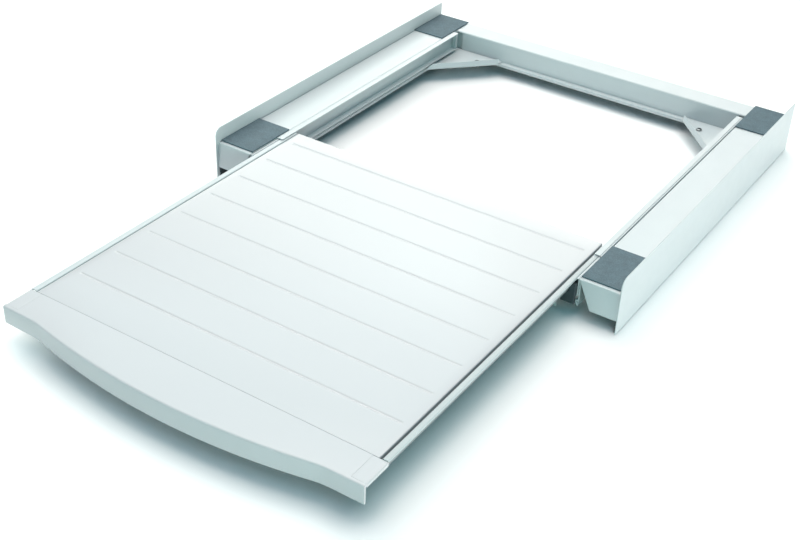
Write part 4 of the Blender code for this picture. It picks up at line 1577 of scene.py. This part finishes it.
@dataclass
class Studio:
    """Pale floor, soft lights and the camera."""

    floor_size: float = 14.0
    floor_cells: int = 14
    floor_finish: Finish = Finish("studio_floor", "", (0.93, 0.945, 0.95), 0.9, tone_drift=0.004,
                                  relief=0.000005)
    sky: Colour = (0.30, 0.84, 1.0)
    sky_power: float = 0.065
    lamps: tuple[Lamp, ...] = (
        Lamp("overhead_left", (-0.6, 0.35, 3.2), (2.8, 2.8), 50.0, (1.00, 0.82, 0.74)),
        Lamp("overhead_right", (0.7, 0.2, 3.1), (2.2, 2.2), 50.5, (0.99, 1.00, 0.97)),
        Lamp("back_strip", (-2.1, 3.07, 1.93), (3.4, 1.25), 47.0, (0.96, 1.00, 0.93), (-2.1, 0, 0.50)),
        Lamp("low_back_strip", (-1.08, 3.0, 1.27), (1.8, 0.4), 5.4, (1.00, 0.85, 0.87), (-0.2, 0.5, 0.05)),
        Lamp("back_left_softbox", (-1.45, 1.45, 2.45), (1.8, 1.8), 25.0, (0.82, 1.00, 1.00)),
        Lamp("left_wall", (-2.71, 0.00, 1.70), (1.8, 1.2), 31.0, (0.87, 1.00, 0.97)),
        Lamp("right_strip", (3.20, 0.00, 0.14), (2.4, 0.22), 61.0, (0.97, 0.94, 0.91), (0, 0, 0.03)),
        Lamp("front_left_fill", (-1.60, -1.60, 2.26), (1.8, 1.8), 10.0, (0.72, 0.88, 1.00)),
        Lamp("front_right_fill", (1.60, -1.60, 2.26), (1.8, 1.8), 13.0, (0.15, 0.79, 1.00)),
        Lamp("front_strip", (1.74, -2.67, 0.33), (3.0, 0.5), 27.0, (0.52, 1.00, 0.84)),
        Lamp("front_softbox", (0.0, -1.60, 2.77), (1.6, 1.6), 12.0, (1.00, 0.85, 0.86)),
    )
    camera_place: Triple = (0.74628, -1.2289, 0.89701)
    camera_forward: Triple = (-0.446883, 0.700996, -0.555788)
    camera_up: Triple = (-0.334623, 0.445193, 0.830561)
    lens: float = 58.0
    sensor: float = 36.0

    def build(self) -> None:
        """Set up the floor, the lights and the camera."""
        work = bmesh.new()
        bmesh.ops.create_grid(work, x_segments=self.floor_cells, y_segments=self.floor_cells,
                              size=self.floor_size * HALF)
        mesh = bpy.data.meshes.new("studio_floor")
        work.to_mesh(mesh)
        work.free()
        mesh.materials.append(self.floor_finish.material())
        floor = linked("studio_floor", mesh)
        world = bpy.data.worlds.new("studio_sky")
        world.use_nodes = True
        background = world.node_tree.nodes["Background"]
        background.inputs["Color"].default_value = (*self.sky, 1)
        background.inputs["Strength"].default_value = self.sky_power
        bpy.context.scene.world = world
        for lamp in self.lamps:
            lamp.hang()
        self.aim_camera()
        bpy.context.scene.view_settings.view_transform = "Standard"

    def aim_camera(self) -> None:
        """Put the camera where the photograph was taken from."""
        data = bpy.data.cameras.new("camera")
        data.lens = self.lens
        data.sensor_width = self.sensor
        camera = linked("camera", data)
        back = -Vector(self.camera_forward)
        up = Vector(self.camera_up)
        turn = Matrix((up.cross(back), up, back)).transposed().to_4x4()
        camera.matrix_world = Matrix.Translation(self.camera_place) @ turn
        bpy.context.scene.camera = camera


def main() -> None:
    """Build every sub-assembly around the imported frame."""
    logging.basicConfig(level=logging.INFO, format="%(name)s: %(message)s")
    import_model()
    Studio().build()
    shop = Workshop(shift=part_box("side_panel_right")[0].y)
    for assembly in (SidePanels(), Rails(), Pads(), CrossPieces(), Gussets(), FixedRunners(), Rollers(),
                     MovingRunners(), ShelfPanel(), ShelfFront(), ShelfBars()):
        before = shop.count
        assembly.build(shop)
        log.info("%s: %d pieces", type(assembly).__name__, shop.count - before)


if __name__ == "__main__":
    main()
